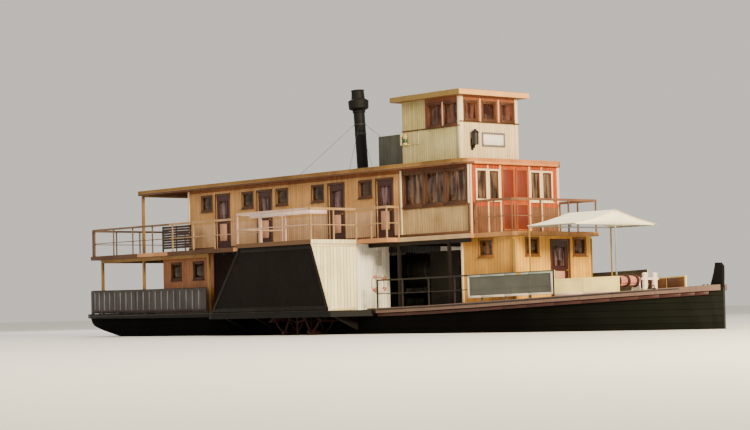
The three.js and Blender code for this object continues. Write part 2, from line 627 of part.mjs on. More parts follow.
const steeringSpokes = Array.from({ length: STEERING.spokes }, (_, i) => {
  const spoke = new THREE.BoxGeometry(36, 36, STEERING.handles);
  spoke.translate(0, 0, STEERING.handles / 2).rotateX((2 * Math.PI * i) / STEERING.spokes);
  return solidFrom(spoke.translate(STEERING.x, 0, STEERING.z));
});
node('steering_wheel', join(
  ring('x', [0, STEERING.z], STEERING.rim - STEERING.rimWidth, STEERING.rim, [STEERING.x - 25, STEERING.x + 25],
    STEERING.sides),
  drum('x', [0, STEERING.z], 100, [STEERING.x - 40, STEERING.x + 40], STEERING.sides),
  drum('x', [0, STEERING.z], STEERING.axle, [STEERING.x, STEERING.x + 230], STEERING.sides),
  steeringSpokes,
), FINISH.varnish);
node('steering_stand', cut(
  join(
    block([5070, 5200], [-110, 110], [HELM_LOW, STEERING.z + 130]),
    block([5010, 5260], [-200, 200], [HELM_LOW, HELM_LOW + 60]),
  ),
  drum('x', [0, STEERING.z], holeRadius(STEERING.axle + GAP, STEERING.sides), [5000, 5300], STEERING.sides),
), FINISH.varnish);

// Main-deck cabins: side walls and one end in the shell, with the other end its own piece
const CABIN_HIGH = UPPER_DECK.low - GAP;
const MAIN_DOOR = { tall: 2000, pane: [1150, 1800] };

const CABIN_TALL = [TRIM_FROM, CABIN_HIGH];
const FORE_CABIN = { aft: 6290, fore: 8790, out: 1880, wall: 60, door: -100 };
const FORE_WINDOWS = { low: 3420, high: 3930, side: [7180, 7780], front: [[-1290, -730], [1000, 1550]] };
const foreInside = FORE_CABIN.out - FORE_CABIN.wall;
const foreWindow = (xs, ys) => block(xs, ys, [FORE_WINDOWS.low, FORE_WINDOWS.high]);
const foreSide = cut(
  block([FORE_CABIN.aft, FORE_CABIN.fore], [-FORE_CABIN.out, -foreInside], CABIN_TALL),
  foreWindow(FORE_WINDOWS.side, [-FORE_CABIN.out - 50, -foreInside + 50]),
);
const foreAftEnd = block([FORE_CABIN.aft, FORE_CABIN.aft + FORE_CABIN.wall], [-FORE_CABIN.out, 10], CABIN_TALL);
node('forward_cabin_shell', cut(bothSides(join(foreSide, foreAftEnd)), underDeck), FINISH.ochre);
const foreFloor = deckTop(FORE_CABIN.fore) + GAP;
const throughFront = [FORE_CABIN.fore - 100, FORE_CABIN.fore + 50];
node('forward_cabin_front', cut(
  block([FORE_CABIN.fore - FORE_CABIN.wall, FORE_CABIN.fore], [-foreInside + GAP, foreInside - GAP], CABIN_TALL),
  block(
    throughFront,
    [FORE_CABIN.door, FORE_CABIN.door + OPENING_WIDE],
    [TRIM_FROM, foreFloor + MAIN_DOOR.tall],
  ),
  FORE_WINDOWS.front.map((ys) => foreWindow(throughFront, ys)),
  underDeck,
), FINISH.ochre);
node('forward_cabin_door', hung(
  doorLeaf(MAIN_DOOR.tall, MAIN_DOOR.pane),
  [FORE_CABIN.fore - FORE_CABIN.wall - HINGE_SET, FORE_CABIN.door - DOOR.jamb, foreFloor],
  [0, 1, 0],
  [-1, 0, 0],
), FINISH.doorMaroon);

const AFT_CABIN = { aft: -11000, fore: -7600, out: 2000, wall: 60 };
const AFT_WINDOWS = {
  low: 3100,
  high: 3700,
  side: [[-10400, -9800], [-8900, -8300]],
  end: [[-1550, -950], [950, 1550]],
};
const aftInside = AFT_CABIN.out - AFT_CABIN.wall;
const aftWindow = (xs, ys) => block(xs, ys, [AFT_WINDOWS.low, AFT_WINDOWS.high]);
const aftSide = cut(
  block([AFT_CABIN.aft, AFT_CABIN.fore], [-AFT_CABIN.out, -aftInside], CABIN_TALL),
  AFT_WINDOWS.side.map((xs) => aftWindow(xs, [-AFT_CABIN.out - 50, -aftInside + 50])),
);
const aftForeEnd = block([AFT_CABIN.fore - AFT_CABIN.wall, AFT_CABIN.fore], [-AFT_CABIN.out, 10], CABIN_TALL);
node('aft_cabin_shell', cut(bothSides(join(aftSide, aftForeEnd)), underDeck), FINISH.varnish);
const aftFloor = deckTop(AFT_CABIN.aft) + GAP;
const throughEnd = [AFT_CABIN.aft - 50, AFT_CABIN.aft + 100];
node('aft_cabin_end', cut(
  block([AFT_CABIN.aft, AFT_CABIN.aft + AFT_CABIN.wall], [-aftInside + GAP, aftInside - GAP], CABIN_TALL),
  block(throughEnd, [-OPENING_WIDE / 2, OPENING_WIDE / 2], [TRIM_FROM, aftFloor + MAIN_DOOR.tall]),
  AFT_WINDOWS.end.map((ys) => aftWindow(throughEnd, ys)),
  underDeck,
), FINISH.varnish);
node('aft_cabin_door', hung(
  doorLeaf(MAIN_DOOR.tall, MAIN_DOOR.pane),
  [AFT_CABIN.aft + AFT_CABIN.wall + HINGE_SET, OPENING_WIDE / 2 + DOOR.jamb, aftFloor],
  [0, -1, 0],
  [1, 0, 0],
), FINISH.doorMaroon);

// Boiler, along the middle of the boat: smokebox aft, barrel, firebox forward, on two saddles
const BOILER = { z: 3050, smokebox: 660, barrel: 600, sides: 32 };
node('boiler', join(
  drum('x', [0, BOILER.z], BOILER.smokebox, [-1500, -200], BOILER.sides),
  drum('x', [0, BOILER.z], BOILER.barrel, [-210, 3450], BOILER.sides),
  block([3400, 4900], [-650, 650], [deckTop(4900) + GAP, 3700]),
  [[600, 900], [-1400, -900]].map((xs) => block(xs, [-400, 400], [DECK + GAP, BOILER.z - 300])),
), FINISH.boilerBlack);

// Engine: one plain mass on a bed that runs forward to the bearings of the paddle shaft
const inboardBearings = [-2575, 2575].map((y) => block([-450, -150], [y - 75, y + 75], [DECK + GAP, 2350]));
node('engine', cut(join(
  block([-3900, -1750], [-700, 700], [DECK + GAP, 2700]),
  [-550, 550].map((y) => block([-1800, -150], [y - 100, y + 100], [DECK + GAP, 1950])),
  block([-450, -150], [-2650, 2650], [DECK + GAP, 1820]),
  inboardBearings,
), shaftHole()), FINISH.iron);

// Funnel: a raked tube fitted over the smokebox, with a wide drum round its open top to catch sparks
const FUNNEL_TOP = 6200; // along its own axis, from the foot
const funnelProfile = [
  [0, -150],
  [330, -150],
  [330, 60],
  [210, 90],
  [210, FUNNEL_TOP - 860],
  [240, FUNNEL_TOP - 840],
  [240, FUNNEL_TOP - 790],
  [220, FUNNEL_TOP - 770],
  [370, FUNNEL_TOP - 690],
  [385, FUNNEL_TOP - 400],
  [255, FUNNEL_TOP - 320],
  [235, FUNNEL_TOP - 50],
  [255, FUNNEL_TOP],
  [215, FUNNEL_TOP],
  [190, FUNNEL_TOP - 330],
  [180, FUNNEL_TOP - 500],
  [0, FUNNEL_TOP - 500],
].map(([r, z]) => new THREE.Vector2(r, z));
const funnelTube = new THREE.LatheGeometry(funnelProfile, 24).rotateX(Math.PI / 2).rotateY(-FUNNEL.rake);
const smokeboxSpace = drum('x', [0, BOILER.z], BOILER.smokebox + 0.5, [-2000, 200], BOILER.sides);
node('funnel', cut(solidFrom(funnelTube.translate(FUNNEL.x, 0, FUNNEL.foot)), smokeboxSpace), FINISH.iron);

node('roof_tank', cut(
  block([950, 2300], [-800, 800], [HELM_LOW, 7950]),
  block([1350, 1900], [-300, 300], [7900, 8000]),
), FINISH.tankGrey);

// Awning over the foredeck: a frame of bars with a gabled sheet of canvas on top. Two posts aft and one forward
// carry it.
const AWNING = { aft: 9550, fore: 11650, out: 2000, eave: 4320, ridge: 4780, thick: 25, barOut: 1960 };
const awningTop = (out) => AWNING.ridge + ((AWNING.eave - AWNING.ridge) * out) / AWNING.out;
node('awning', plate('yz', [
  [-AWNING.out, AWNING.eave - AWNING.thick],
  [0, AWNING.ridge - AWNING.thick],
  [AWNING.out, AWNING.eave - AWNING.thick],
  [AWNING.out, AWNING.eave],
  [0, AWNING.ridge],
  [-AWNING.out, AWNING.eave],
], [AWNING.aft, AWNING.fore]), FINISH.canvas);

const BAR = 36;
const SEAT = 1; // drop of the bars, so that their square corners stay under the sloping canvas
const barTop = (out) => awningTop(out + BAR / 2) - AWNING.thick - SEAT;
const sideBarTop = barTop(AWNING.barOut);
const barAround = (middle) => [middle - BAR / 2, middle + BAR / 2];
const awningBar = (xs, out) => block(xs, barAround(-out), [barTop(out) - BAR, barTop(out)]);
const awningEnds = [AWNING.aft + 60, AWNING.fore - 60];
const middlePost = (x, foot) => block(barAround(x), [-BAR / 2, 10], [foot, barTop(0)]);
node('awning_frame', cut(bothSides(join(
  awningBar([AWNING.aft + 20, AWNING.fore - 20], AWNING.barOut),
  awningBar([AWNING.aft + 20, AWNING.fore - 20], 0),
  block(barAround(awningEnds[0]), barAround(-AWNING.barOut), [TRIM_FROM, sideBarTop]),
  middlePost(awningEnds[0], sideBarTop - BAR),
  middlePost(awningEnds[1], TRIM_FROM),
  awningEnds.map((x) => block(barAround(x), [-AWNING.barOut, 10], [sideBarTop - BAR, sideBarTop])),
)), underDeck), FINISH.white);

// Rails
const UPPER_RAIL = { rails: [[500, 530], [1030, 1110]], width: 60, post: 44, pitch: 1500, foot: GAP,
  level: () => UPPER_DECK.top };
const INSET = 60; // rails stand this far inside the deck's edge
const starboardRailPath = [
  [SIDE.aft + INSET, -SIDE.out + INSET],
  [WING.aft + INSET, -SIDE.out + INSET],
  [WING.aft + INSET, -WING.out + INSET],
  [WING.fore - INSET, -WING.out + INSET],
  [WING.fore - INSET, -SIDE.out + INSET],
  [SIDE.fore - INSET, -SIDE.out + INSET],
  [SIDE.fore - INSET, -HOUSE.out - 90],
];
nodePair('upper_rail', railing(starboardRailPath, UPPER_RAIL), FINISH.deckEdge);
const aftRailHalf = [[-14840 - INSET, -2750], [-15200 + INSET, -2610], [-15600 + INSET, -2370]];
node('upper_rail_aft', railing(deckOutline(aftRailHalf), UPPER_RAIL), FINISH.deckEdge);
const foreRailHalf = [[HOUSE.fore + 160, -2020], [8890, -2020]];
node('fore_rail', railing(deckOutline(foreRailHalf), UPPER_RAIL), FINISH.saloonRed);

// The foredeck rail rises less than the deck does, and its posts run down to the deck wherever that is.
const RAIL_SHEER = 0.4; // share of the deck's own rise
const foreRailLevel = (x) => DECK + (deckTop(x) - DECK) * RAIL_SHEER;
const MAIN_RAIL = { rails: [[520, 550], [980, 1030]], width: 60, post: 44, pitch: 1450, foot: -60,
  level: foreRailLevel };
const railInset = 110;
const mainRailPath = (from, to) => stationsBetween(from, to).map((x) => [x, -deckHalf(x) + railInset]);
nodePair('main_rail', cut(join(
  railing(mainRailPath(2860, 10940), MAIN_RAIL),
  railing(mainRailPath(10940, 13120), { ...MAIN_RAIL, rails: [[690, 730]] }),
  band(mainRailPath(7400, 10900), [-20, 20], [260, 1000], foreRailLevel), // sign board
  band(mainRailPath(10960, 13100), [-15, 15], [150, 700], foreRailLevel), // bulwark beside the windlass
), underDeck), FINISH.white);

const sternHalf = [[-7200, 0], ...stationsBetween(-15400, -8000).reverse().map((x) => [x, 0]), [-15760, 0]]
  .map(([x]) => [x, -deckHalf(x) + railInset]).reverse();
const sternPath = [...sternHalf.map(([x, y]) => [x, -y]).reverse(), ...sternHalf];
node('stern_rail', cut(join(
  railing(sternPath, { rails: [[930, 1000]], width: 80, post: 60, pitch: 1400, foot: -60, level: deckTop }),
  band(sternPath, [-12, 12], [60, 940], deckTop),
), underDeck), FINISH.railGrey);

// Stair from the main deck to the upper deck, aft
const stairLean = (STAIR.head - GAP - (STAIR.foot + 300)) / (UPPER_DECK.low - 200 - 1650);
const stairX = (z) => STAIR.foot + (z - 1650) * stairLean;
const stringer = (y) => plate('xz', [
  [stairX(1650), 1650],
  [stairX(1650) + 300, 1650],
  [STAIR.head - GAP, UPPER_DECK.low - 200],
  [STAIR.head - GAP, UPPER_DECK.top],
  [stairX(UPPER_DECK.top), UPPER_DECK.top],
], [y - 20, y + 20]);
const STEPS = 10;
const treads = Array.from({ length: STEPS }, (_, i) => {
  const z = DECK + ((UPPER_DECK.top - DECK) * (i + 1)) / (STEPS + 1);
  return block([stairX(z) + 20, Math.min(stairX(z) + 270, STAIR.head - GAP)],
    [STAIR.inner + 50, STAIR.outer - 50], [z - 35, z]);
});
const stringers = [STAIR.inner + 50, STAIR.outer - 50].map(stringer);
node('aft_stair', cut(join(stringers, treads), underDeck), FINISH.timber);

// Paddle wheels: two spoked frames on a hub, tied by rings, with flat floats at the ends of the arms
const PADDLE = { floats: 12, frames: [3100, 3750], frame: 40, hub: 210, ringSides: 24 };

function paddleArm(i, geometry) {
  geometry.rotateY((2 * Math.PI * i) / PADDLE.floats);
  return solidFrom(geometry.translate(AXLE.x, 0, AXLE.z));
}

const paddleMiddle = -(WHEEL.inner + WHEEL.outer) / 2;
const paddleFloats = Array.from({ length: PADDLE.floats }, (_, i) => paddleArm(i,
  new THREE.BoxGeometry(40, WHEEL.outer - WHEEL.inner, 340).translate(0, paddleMiddle, WHEEL.radius - 170)));
const paddleFrames = PADDLE.frames.map((out) => {
  const span = [-out - PADDLE.frame / 2, -out + PADDLE.frame / 2];
  const arms = Array.from({ length: PADDLE.floats }, (_, i) => paddleArm(i,
    new THREE.BoxGeometry(80, PADDLE.frame, 1500).translate(0, -out, 880)));
  return join(
    ring('y', [AXLE.x, AXLE.z], 1470, 1530, span, PADDLE.ringSides),
    ring('y', [AXLE.x, AXLE.z], 880, 930, span, PADDLE.floats),
    arms,
  );
});
nodePair('paddle_wheel', cut(
  join(
    drum('y', [AXLE.x, AXLE.z], PADDLE.hub, [-WHEEL.outer + 60, -WHEEL.inner - 60], PADDLE.floats),
    paddleFrames,
    paddleFloats,
  ),
  drum('y', [AXLE.x, AXLE.z], AXLE.radius + GAP, [-5000, 5000], AXLE.sides),
), FINISH.wheelRed);
node('paddle_shaft', drum('y', [AXLE.x, AXLE.z], AXLE.radius, [-4025, 4025], AXLE.sides), FINISH.iron);

export default steamer;
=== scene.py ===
# %% [markdown]
# A side-wheel paddle steamer, 32 m long, dressed over its solid model. The solid model is the frame: it
# already has every wall, deck, rail and wheel at its real place in metres, with +X to the bow, +Y to port
# and +Z up. What follows gives those pieces their paint and timber, and adds the joinery that a shipwright
# would plant on them: window casings, door panels, battens, mouldings, lamps, lifebuoys and a canvas
# awning.

# %% Frame
import math

import bpy
import numpy as np
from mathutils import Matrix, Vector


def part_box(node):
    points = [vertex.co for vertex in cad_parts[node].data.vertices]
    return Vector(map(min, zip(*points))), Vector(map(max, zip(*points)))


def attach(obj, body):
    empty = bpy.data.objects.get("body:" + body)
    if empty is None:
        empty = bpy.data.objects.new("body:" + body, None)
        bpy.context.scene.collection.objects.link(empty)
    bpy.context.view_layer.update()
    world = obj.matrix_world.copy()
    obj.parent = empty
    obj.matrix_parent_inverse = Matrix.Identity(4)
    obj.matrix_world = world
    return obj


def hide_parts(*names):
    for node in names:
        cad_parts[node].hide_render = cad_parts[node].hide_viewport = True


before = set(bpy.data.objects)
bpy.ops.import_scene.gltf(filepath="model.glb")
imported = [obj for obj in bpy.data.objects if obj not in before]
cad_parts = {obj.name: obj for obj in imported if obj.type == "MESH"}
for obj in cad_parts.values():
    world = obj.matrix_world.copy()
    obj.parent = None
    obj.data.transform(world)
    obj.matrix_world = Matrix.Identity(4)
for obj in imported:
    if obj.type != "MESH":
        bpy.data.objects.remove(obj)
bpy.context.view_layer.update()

# %% [markdown]
# The boat floats 0.85 m deep, so the floor of the scene lies at that height of her hull. The camera stands
# off the starboard bow, 0.8 m above that floor and 74 m away, as it did for the photograph. From so far the
# boat's lines hardly converge, and a long lens at the same place keeps that look while the boat fills the
# frame.

# %% Camera
WATERLINE = 0.85
EYE = (55.90, -48.96, WATERLINE + 0.80)
AIM = (0.30, -0.60, 5.15)
LENS = 97.0
ROLL = math.radians(1.33)
FAR_CLIP = 2000.0

camera = bpy.data.objects.new("camera", bpy.data.cameras.new("camera"))
bpy.context.scene.collection.objects.link(camera)
bpy.context.scene.camera = camera
camera.data.lens = LENS
camera.data.clip_end = FAR_CLIP
camera.location = EYE
look = np.subtract(AIM, EYE)
camera.rotation_euler = (
    math.pi / 2 + math.atan2(look[2], np.hypot(look[0], look[1])),
    ROLL,
    math.atan2(look[1], look[0]) - math.pi / 2,
)
print("camera:", round(float(np.linalg.norm(look)), 1), "m from what it looks at")

# %% [markdown]
# A studio for a boat: a wide pale floor, a pale sky that fills the shadows and one large soft lamp low off
# the starboard bow. That lamp makes the faces that look forward bright, reaches in under the decks and only
# grazes the starboard side, as the low sun does in the photograph. Colours are given as sRGB hex values,
# and one function turns them into the linear light that Blender works with.

# %% Colour and light
def linear(hex_colour):
    """sRGB hex to linear RGBA: c / 12.92 in the darkest tones, else ((c + 0.055) / 1.055) to the power 2.4."""
    srgb = np.array([int(hex_colour[i:i + 2], 16) for i in (0, 2, 4)]) / 255
    rgb = np.where(srgb <= 0.04045, srgb / 12.92, ((srgb + 0.055) / 1.055) ** 2.4)
    return (*rgb.tolist(), 1.0)


def lamp(name, place, target, size, watts, colour):
    """A square area lamp at place whose light falls towards target."""
    light = bpy.data.lights.new(name, "AREA")
    light.size = size
    light.energy = watts
    light.color = linear(colour)[:3]
    holder = bpy.data.objects.new(name, light)
    bpy.context.scene.collection.objects.link(holder)
    aim = np.subtract(target, place)
    holder.location = place
    holder.rotation_euler = (
        math.atan2(np.hypot(aim[0], aim[1]), -aim[2]),
        0,
        math.atan2(aim[1], aim[0]) - math.pi / 2,
    )


#    name, place, target, size m, watts, colour
LAMPS = [
    ("key_lamp", (60, -13, 21), (2, 0, 4), 11, 73000, "ffebc0"),
    ("top_lamp", (10, -10, 62), (0, 0, 4), 30, 16000, "fff6e8"),
    ("side_lamp", (6, -62, 30), (0, 0, 4), 34, 6500, "fff3e2"),
    ("stern_lamp", (-48, 30, 30), (0, 0, 4), 26, 12000, "f4f1ff"),
]
for row in LAMPS:
    lamp(*row)

SKY_COLOUR, SKY_STRENGTH = "f3ede2", 0.85
world = bpy.data.worlds.new("studio_sky")
bpy.context.scene.world = world
world.use_nodes = True
world.node_tree.nodes["Background"].inputs["Color"].default_value = linear(SKY_COLOUR)
world.node_tree.nodes["Background"].inputs["Strength"].default_value = SKY_STRENGTH
print("light:", len(LAMPS), "lamps and a pale sky")

# %% Floor
FLOOR_REACH = 400.0
floor_mesh = bpy.data.meshes.new("floor")
floor_mesh.from_pydata(
    [(x * FLOOR_REACH, y * FLOOR_REACH, WATERLINE) for x, y in ((-1, -1), (1, -1), (1, 1), (-1, 1))],
    [], [(0, 1, 2, 3)],
)
floor = bpy.data.objects.new("floor", floor_mesh)
bpy.context.scene.collection.objects.link(floor)
print("floor at", WATERLINE, "m")

# %% [markdown]
# Materials come next. A Blender material is a tree of nodes, and one small function is enough to write such
# a tree: it makes a node, sets its settings and fills its sockets with values or with links. Patterns are
# measured along the object's own axes. Joints are drawn by distance: a coordinate is folded so that it is
# zero at each joint, and a narrow band round zero becomes a dark groove and a dip in the surface. Side
# walls run along X and end walls along Y, and one of the two is the same all over a wall, so their sum
# counts the boards on both.

# %% Nodes
COLOUR_A, COLOUR_B, COLOUR_OUT = 6, 7, 2  # the colour sockets of a Mix node
COLOURS = {"data_type": "RGBA"}


def add(tree, kind, sockets=None, **settings):
    """One node: its settings, then its sockets, each filled with a value or with another node's output."""
    node = tree.nodes.new(kind)
    for key, value in settings.items():
        setattr(node, key, value)
    for key, value in (sockets or {}).items():
        if isinstance(value, bpy.types.NodeSocket):
            tree.links.new(value, node.inputs[key])
        else:
            node.inputs[key].default_value = value
    return node


def blank_material(name):
    """An empty material with its output node, as (material, tree, output)."""
    material = bpy.data.materials.new(name)
    material.use_nodes = True
    tree = material.node_tree
    tree.nodes.clear()
    return material, tree, add(tree, "ShaderNodeOutputMaterial")


print("nodes can be added")

# %% Patterns
def axis_value(tree, along):
    """Object coordinates in metres along x, y or z, or x + y for boards on side and end walls alike."""
    split = add(tree, "ShaderNodeSeparateXYZ", {0: add(tree, "ShaderNodeTexCoord").outputs["Object"]})
    if along == "xy":
        both_axes = {0: split.outputs["X"], 1: split.outputs["Y"]}
        return add(tree, "ShaderNodeMath", both_axes, operation="ADD").outputs[0]
    return split.outputs[along.upper()]


def joints(tree, along, pitch_mm, width_mm):
    """Groove mask: 1 in a band width_mm wide at every multiple of the pitch, 0 between, soft at its sides."""
    half_pitch = {0: axis_value(tree, along), 1: pitch_mm / 2000}
    folded = add(tree, "ShaderNodeMath", half_pitch, operation="PINGPONG").outputs[0]
    band = {"Value": folded, "From Min": 0.0, "From Max": width_mm / 1000, "To Min": 1.0, "To Max": 0.0}
    return add(tree, "ShaderNodeMapRange", band, interpolation_type="SMOOTHSTEP").outputs["Result"]


def patches(tree, size_mm, stretch=(1, 1, 1), detail=4.0):
    """Cloudy values round 0.5: noise with features about size_mm across, longer where stretch is above 1."""
    scaled = add(tree, "ShaderNodeMapping", {"Vector": add(tree, "ShaderNodeTexCoord").outputs["Object"],
                                             "Scale": [1000 / (size_mm * s) for s in stretch]})
    noise = {"Vector": scaled.outputs[0], "Scale": 1.0, "Detail": detail}
    return add(tree, "ShaderNodeTexNoise", noise).outputs["Fac"]


def within(tree, value, low, high, soft=0.004):
    """1 where the value lies between low and high, 0 outside, with edges soft metres wide."""
    rise = add(tree, "ShaderNodeMapRange", {"Value": value, "From Min": low - soft, "From Max": low + soft})
    fall = add(tree, "ShaderNodeMapRange", {"Value": value, "From Min": high + soft, "From Max": high - soft})
    return add(tree, "ShaderNodeMath", {0: rise.outputs[0], 1: fall.outputs[0]},
               operation="MULTIPLY").outputs[0]


print("patterns ready: joints, patches and areas")

# %% [markdown]
# Every finish here starts as something real, a coat of paint on boards for instance, so one function builds
# such a coat: a colour that varies in patches nearly a metre wide, streaks where rain has run down, fine
# grain, areas in a second colour, and the joints between the boards, where each board has a tone of its
# own.

# %% Areas and boards
BOARD_TONES = (0.84, 1.08)
JOINT_SHADE = 0.22


def with_areas(tree, base, areas):
    """The base colour, with each area's colour where all its masks are 1: their product mixes it in."""
    for area_colour, limits in areas:
        masks = [within(tree, axis_value(tree, axis), *span) for axis, span in limits.items()]
        mask = masks[0]
        for other in masks[1:]:
            mask = add(tree, "ShaderNodeMath", {0: mask, 1: other}, operation="MULTIPLY").outputs[0]
        mix = {0: mask, COLOUR_A: base, COLOUR_B: linear(area_colour)}
        base = add(tree, "ShaderNodeMix", mix, **COLOURS).outputs[COLOUR_OUT]
    return base


def with_boards(tree, base, height, colour, boards):
    """Base colour and height with boards: a tone by each board's number, and a dark groove at each joint."""
    axis, pitch_mm, joint_mm = boards
    groove = joints(tree, axis, pitch_mm, joint_mm)
    number = add(tree, "ShaderNodeMath", {0: axis_value(tree, axis), 1: pitch_mm / 1000}, operation="DIVIDE")
    whole = add(tree, "ShaderNodeMath", {0: number.outputs[0]}, operation="FLOOR")
    dice = add(tree, "ShaderNodeTexWhiteNoise", {"W": whole.outputs[0]}, noise_dimensions="1D")
    tone = add(tree, "ShaderNodeMapRange", {"Value": dice.outputs["Value"], "To Min": BOARD_TONES[0],
                                            "To Max": BOARD_TONES[1]})
    toned = add(tree, "ShaderNodeVectorMath", {0: base, "Scale": tone.outputs[0]}, operation="SCALE")
    joint_colour = [c * JOINT_SHADE for c in linear(colour)[:3]] + [1.0]
    mixed = add(tree, "ShaderNodeMix", {0: groove, COLOUR_A: toned.outputs[0], COLOUR_B: joint_colour},
                **COLOURS)
    sunk = add(tree, "ShaderNodeMath", {0: height, 1: groove}, operation="SUBTRACT")
    return mixed.outputs[COLOUR_OUT], sunk.outputs[0]


print("areas and boards ready")

# %% Coats of paint
PATCH_MM, STREAK_MM, BRUSH_MM, GRAIN_MM = 900, 90, 30, 12


def coat(name, colour, shade, roughness, boards=None, spread=0.5, streaks=0.35, areas=(), metal=0.0, grain=0.0,
         sheen_coat=0.0, gloss=0.4):
    """A coat of paint, oil or rust. colour turns to shade in patches and streaks. boards is (axis, pitch mm,
    joint mm). areas is a list of (colour, {axis: (low, high)}): there the coat has that colour."""
    material, tree, output = blank_material(name)
    cloud = add(tree, "ShaderNodeMapRange", {"Value": patches(tree, PATCH_MM), "From Min": 0.35,
                                             "From Max": 0.75, "To Max": spread})
    run = add(tree, "ShaderNodeMapRange", {"Value": patches(tree, STREAK_MM, (1, 1, 9)), "From Min": 0.5,
                                           "From Max": 0.8, "To Max": streaks})
    worn = add(tree, "ShaderNodeMath", {0: cloud.outputs[0], 1: run.outputs[0]}, operation="MAXIMUM").outputs[0]
    paint = add(tree, "ShaderNodeRGB")
    paint.outputs[0].default_value = linear(colour)
    base = with_areas(tree, paint.outputs[0], areas)
    dirty = add(tree, "ShaderNodeMix", {0: 1.0, COLOUR_A: base, COLOUR_B: linear(shade)}, **COLOURS,
                blend_type="MULTIPLY").outputs[COLOUR_OUT]
    base = add(tree, "ShaderNodeMix", {0: worn, COLOUR_A: base, COLOUR_B: dirty},
               **COLOURS).outputs[COLOUR_OUT]
    brushed = {0: patches(tree, BRUSH_MM, detail=3.0), 1: 0.12}
    height = add(tree, "ShaderNodeMath", brushed, operation="MULTIPLY").outputs[0]
    if grain:
        fibres = {0: patches(tree, GRAIN_MM, (1, 1, 14)), 1: grain, 2: height}
        height = add(tree, "ShaderNodeMath", fibres, operation="MULTIPLY_ADD").outputs[0]
    if boards:
        base, height = with_boards(tree, base, height, colour, boards)
    rough = add(tree, "ShaderNodeMapRange", {"Value": worn, "To Min": roughness,
                                             "To Max": min(roughness + 0.2, 1.0)})
    bump = add(tree, "ShaderNodeBump", {"Height": height, "Distance": 0.012, "Strength": 0.7})
    shader = add(tree, "ShaderNodeBsdfPrincipled", {
        "Base Color": base, "Roughness": rough.outputs[0], "Normal": bump.outputs[0], "Metallic": metal,
        "Coat Weight": sheen_coat, "Specular IOR Level": gloss,
    })
    tree.links.new(shader.outputs[0], output.inputs["Surface"])
    return material


def dress(material, *nodes):
    """Gives a material to solid-model nodes."""
    for node in nodes:
        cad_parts[node].data.materials.clear()
        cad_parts[node].data.materials.append(material)


def both(name):
    """The starboard and port nodes of a pair."""
    return [f"{name}_{side}" for side in ("starboard", "port")]


floor_paint = coat("matt_studio_paint", "e9e6e0", "f4f2ee", 0.85, spread=0.15, streaks=0.0)
floor.data.materials.append(floor_paint)
print("coats ready")

# %% [markdown]
# Below the deck she is a composite hull, planked and tarred. Tar dries to a dull black that greys where it
# rubs, and the planks run fore and aft, so their seams are level lines: boards along Z. The guards are
# heavy timber whose paint has turned a dull pinkish brown; along the paddle boxes and aft they are coloured
# nearly black, painted shade under the boxes. The deck is bleached gum, and the stem is oiled hardwood.

# %% Hull, guards and decks
tarred_planks = coat("tarred_hull_planking", "080807", "8a7d72", 0.85, boards=("z", 210, 9), spread=0.3,
                     streaks=0.2, gloss=0.03, areas=[("1a1b17", {"x": (12.5, 25.0, 3.0)})])  # greyer at the bow
guard_paint_and_shade = coat("guard_paint_with_painted_shade", "6e5850", "8d7263", 0.55, spread=0.3, streaks=0.6,
                   gloss=0.2, areas=[
    ("0a0808", {"x": (-16.2, 2.95)}),  # along the paddle boxes and aft: painted shade under the boxes
    ("8d8473", {"z": (1.698, 1.702)}),  # the top, level with the deck
])
bleached_deck = coat("bleached_red_gum_deck", "9c917e", "70634f", 0.85, boards=("y", 130, 7), grain=0.0)
dark_oiled_timber = coat("dark_oiled_hardwood", "1c130e", "7a6450", 0.6, grain=0.4, gloss=0.15,
                         areas=[("0a0806", {"x": (15.4, 16.1)})])  # the stem
dress(tarred_planks, "hull")
dress(guard_paint_and_shade, *both("guard"))
dress(bleached_deck, "main_deck")
dress(dark_oiled_timber, "stem_post", "mooring_bitts_aft", "aft_stair")
print("hull, guards and main deck painted")

# %% [markdown]
# The decks above are canvas-covered boards. From low down only their edges show, and those are painted, so
# one material has areas told apart by place and height: the edge's colours, which change along the boat,
# the walked-on top and the underside.

# %% Upper decks
deck_edge = coat("upper_deck_paint", "c08a5c", "7c4a30", 0.65, spread=0.5, streaks=0.4,
                 boards=("y", 140, 5), areas=[
    ("5a3c28", {"x": (-15.7, -11.6)}),  # round the stern
    ("563820", {"x": (-9.5, -5.2)}),  # beside the aft cabins: painted shade
    ("c9ad86", {"x": (3.62, 7.14)}),  # beside the saloon
    ("b88650", {"x": (7.14, 8.96)}),  # fore edge
    ("0d0907", {"y": (-4.91, -4.89)}),  # outer edge over the paddle boxes, starboard
    ("0d0907", {"y": (4.89, 4.91)}),  # and port
    ("f3e6bd", {"x": (1.95, 1.97)}),  # over the boxes' fronts
    ("8a7b64", {"z": (4.168, 4.20)}),  # the top
    ("5a4a3c", {"z": (3.9, 4.022)}),  # the underside
])
# Olive brown on the roof's side edges is painted shade, and salmon orange on its fore edge is painted sunlight:
# one paint in shaded and lit copies.
roof_canvas = coat("painted_canvas_roof", "8a662c", "7c5c38", 0.75, spread=0.6, streaks=0.3,
                   boards=("x", 1250, 9), areas=[
    ("c67c42", {"x": (7.05, 7.3)}),  # fore edge, salmon orange: painted sunlight
    ("8d7e69", {"z": (6.707, 6.8)}),  # the top
    ("d8cbb2", {"z": (6.5, 6.593)}),  # the underside
])
wheelhouse_roof_paint = coat("wheelhouse_roof_paint", "816a36", "8a6440", 0.6, spread=0.35, streaks=0.4, areas=[
    ("ebad6a", {"x": (6.17, 6.19)}),  # fore edge
    ("9c8a72", {"z": (9.17, 9.3)}),  # the top
    ("8a5a34", {"z": (8.9, 8.983)}),  # the underside
])
frame_paint = coat("buff_frame_paint", "9a7644", "7c5a3c", 0.6, streaks=0.5)
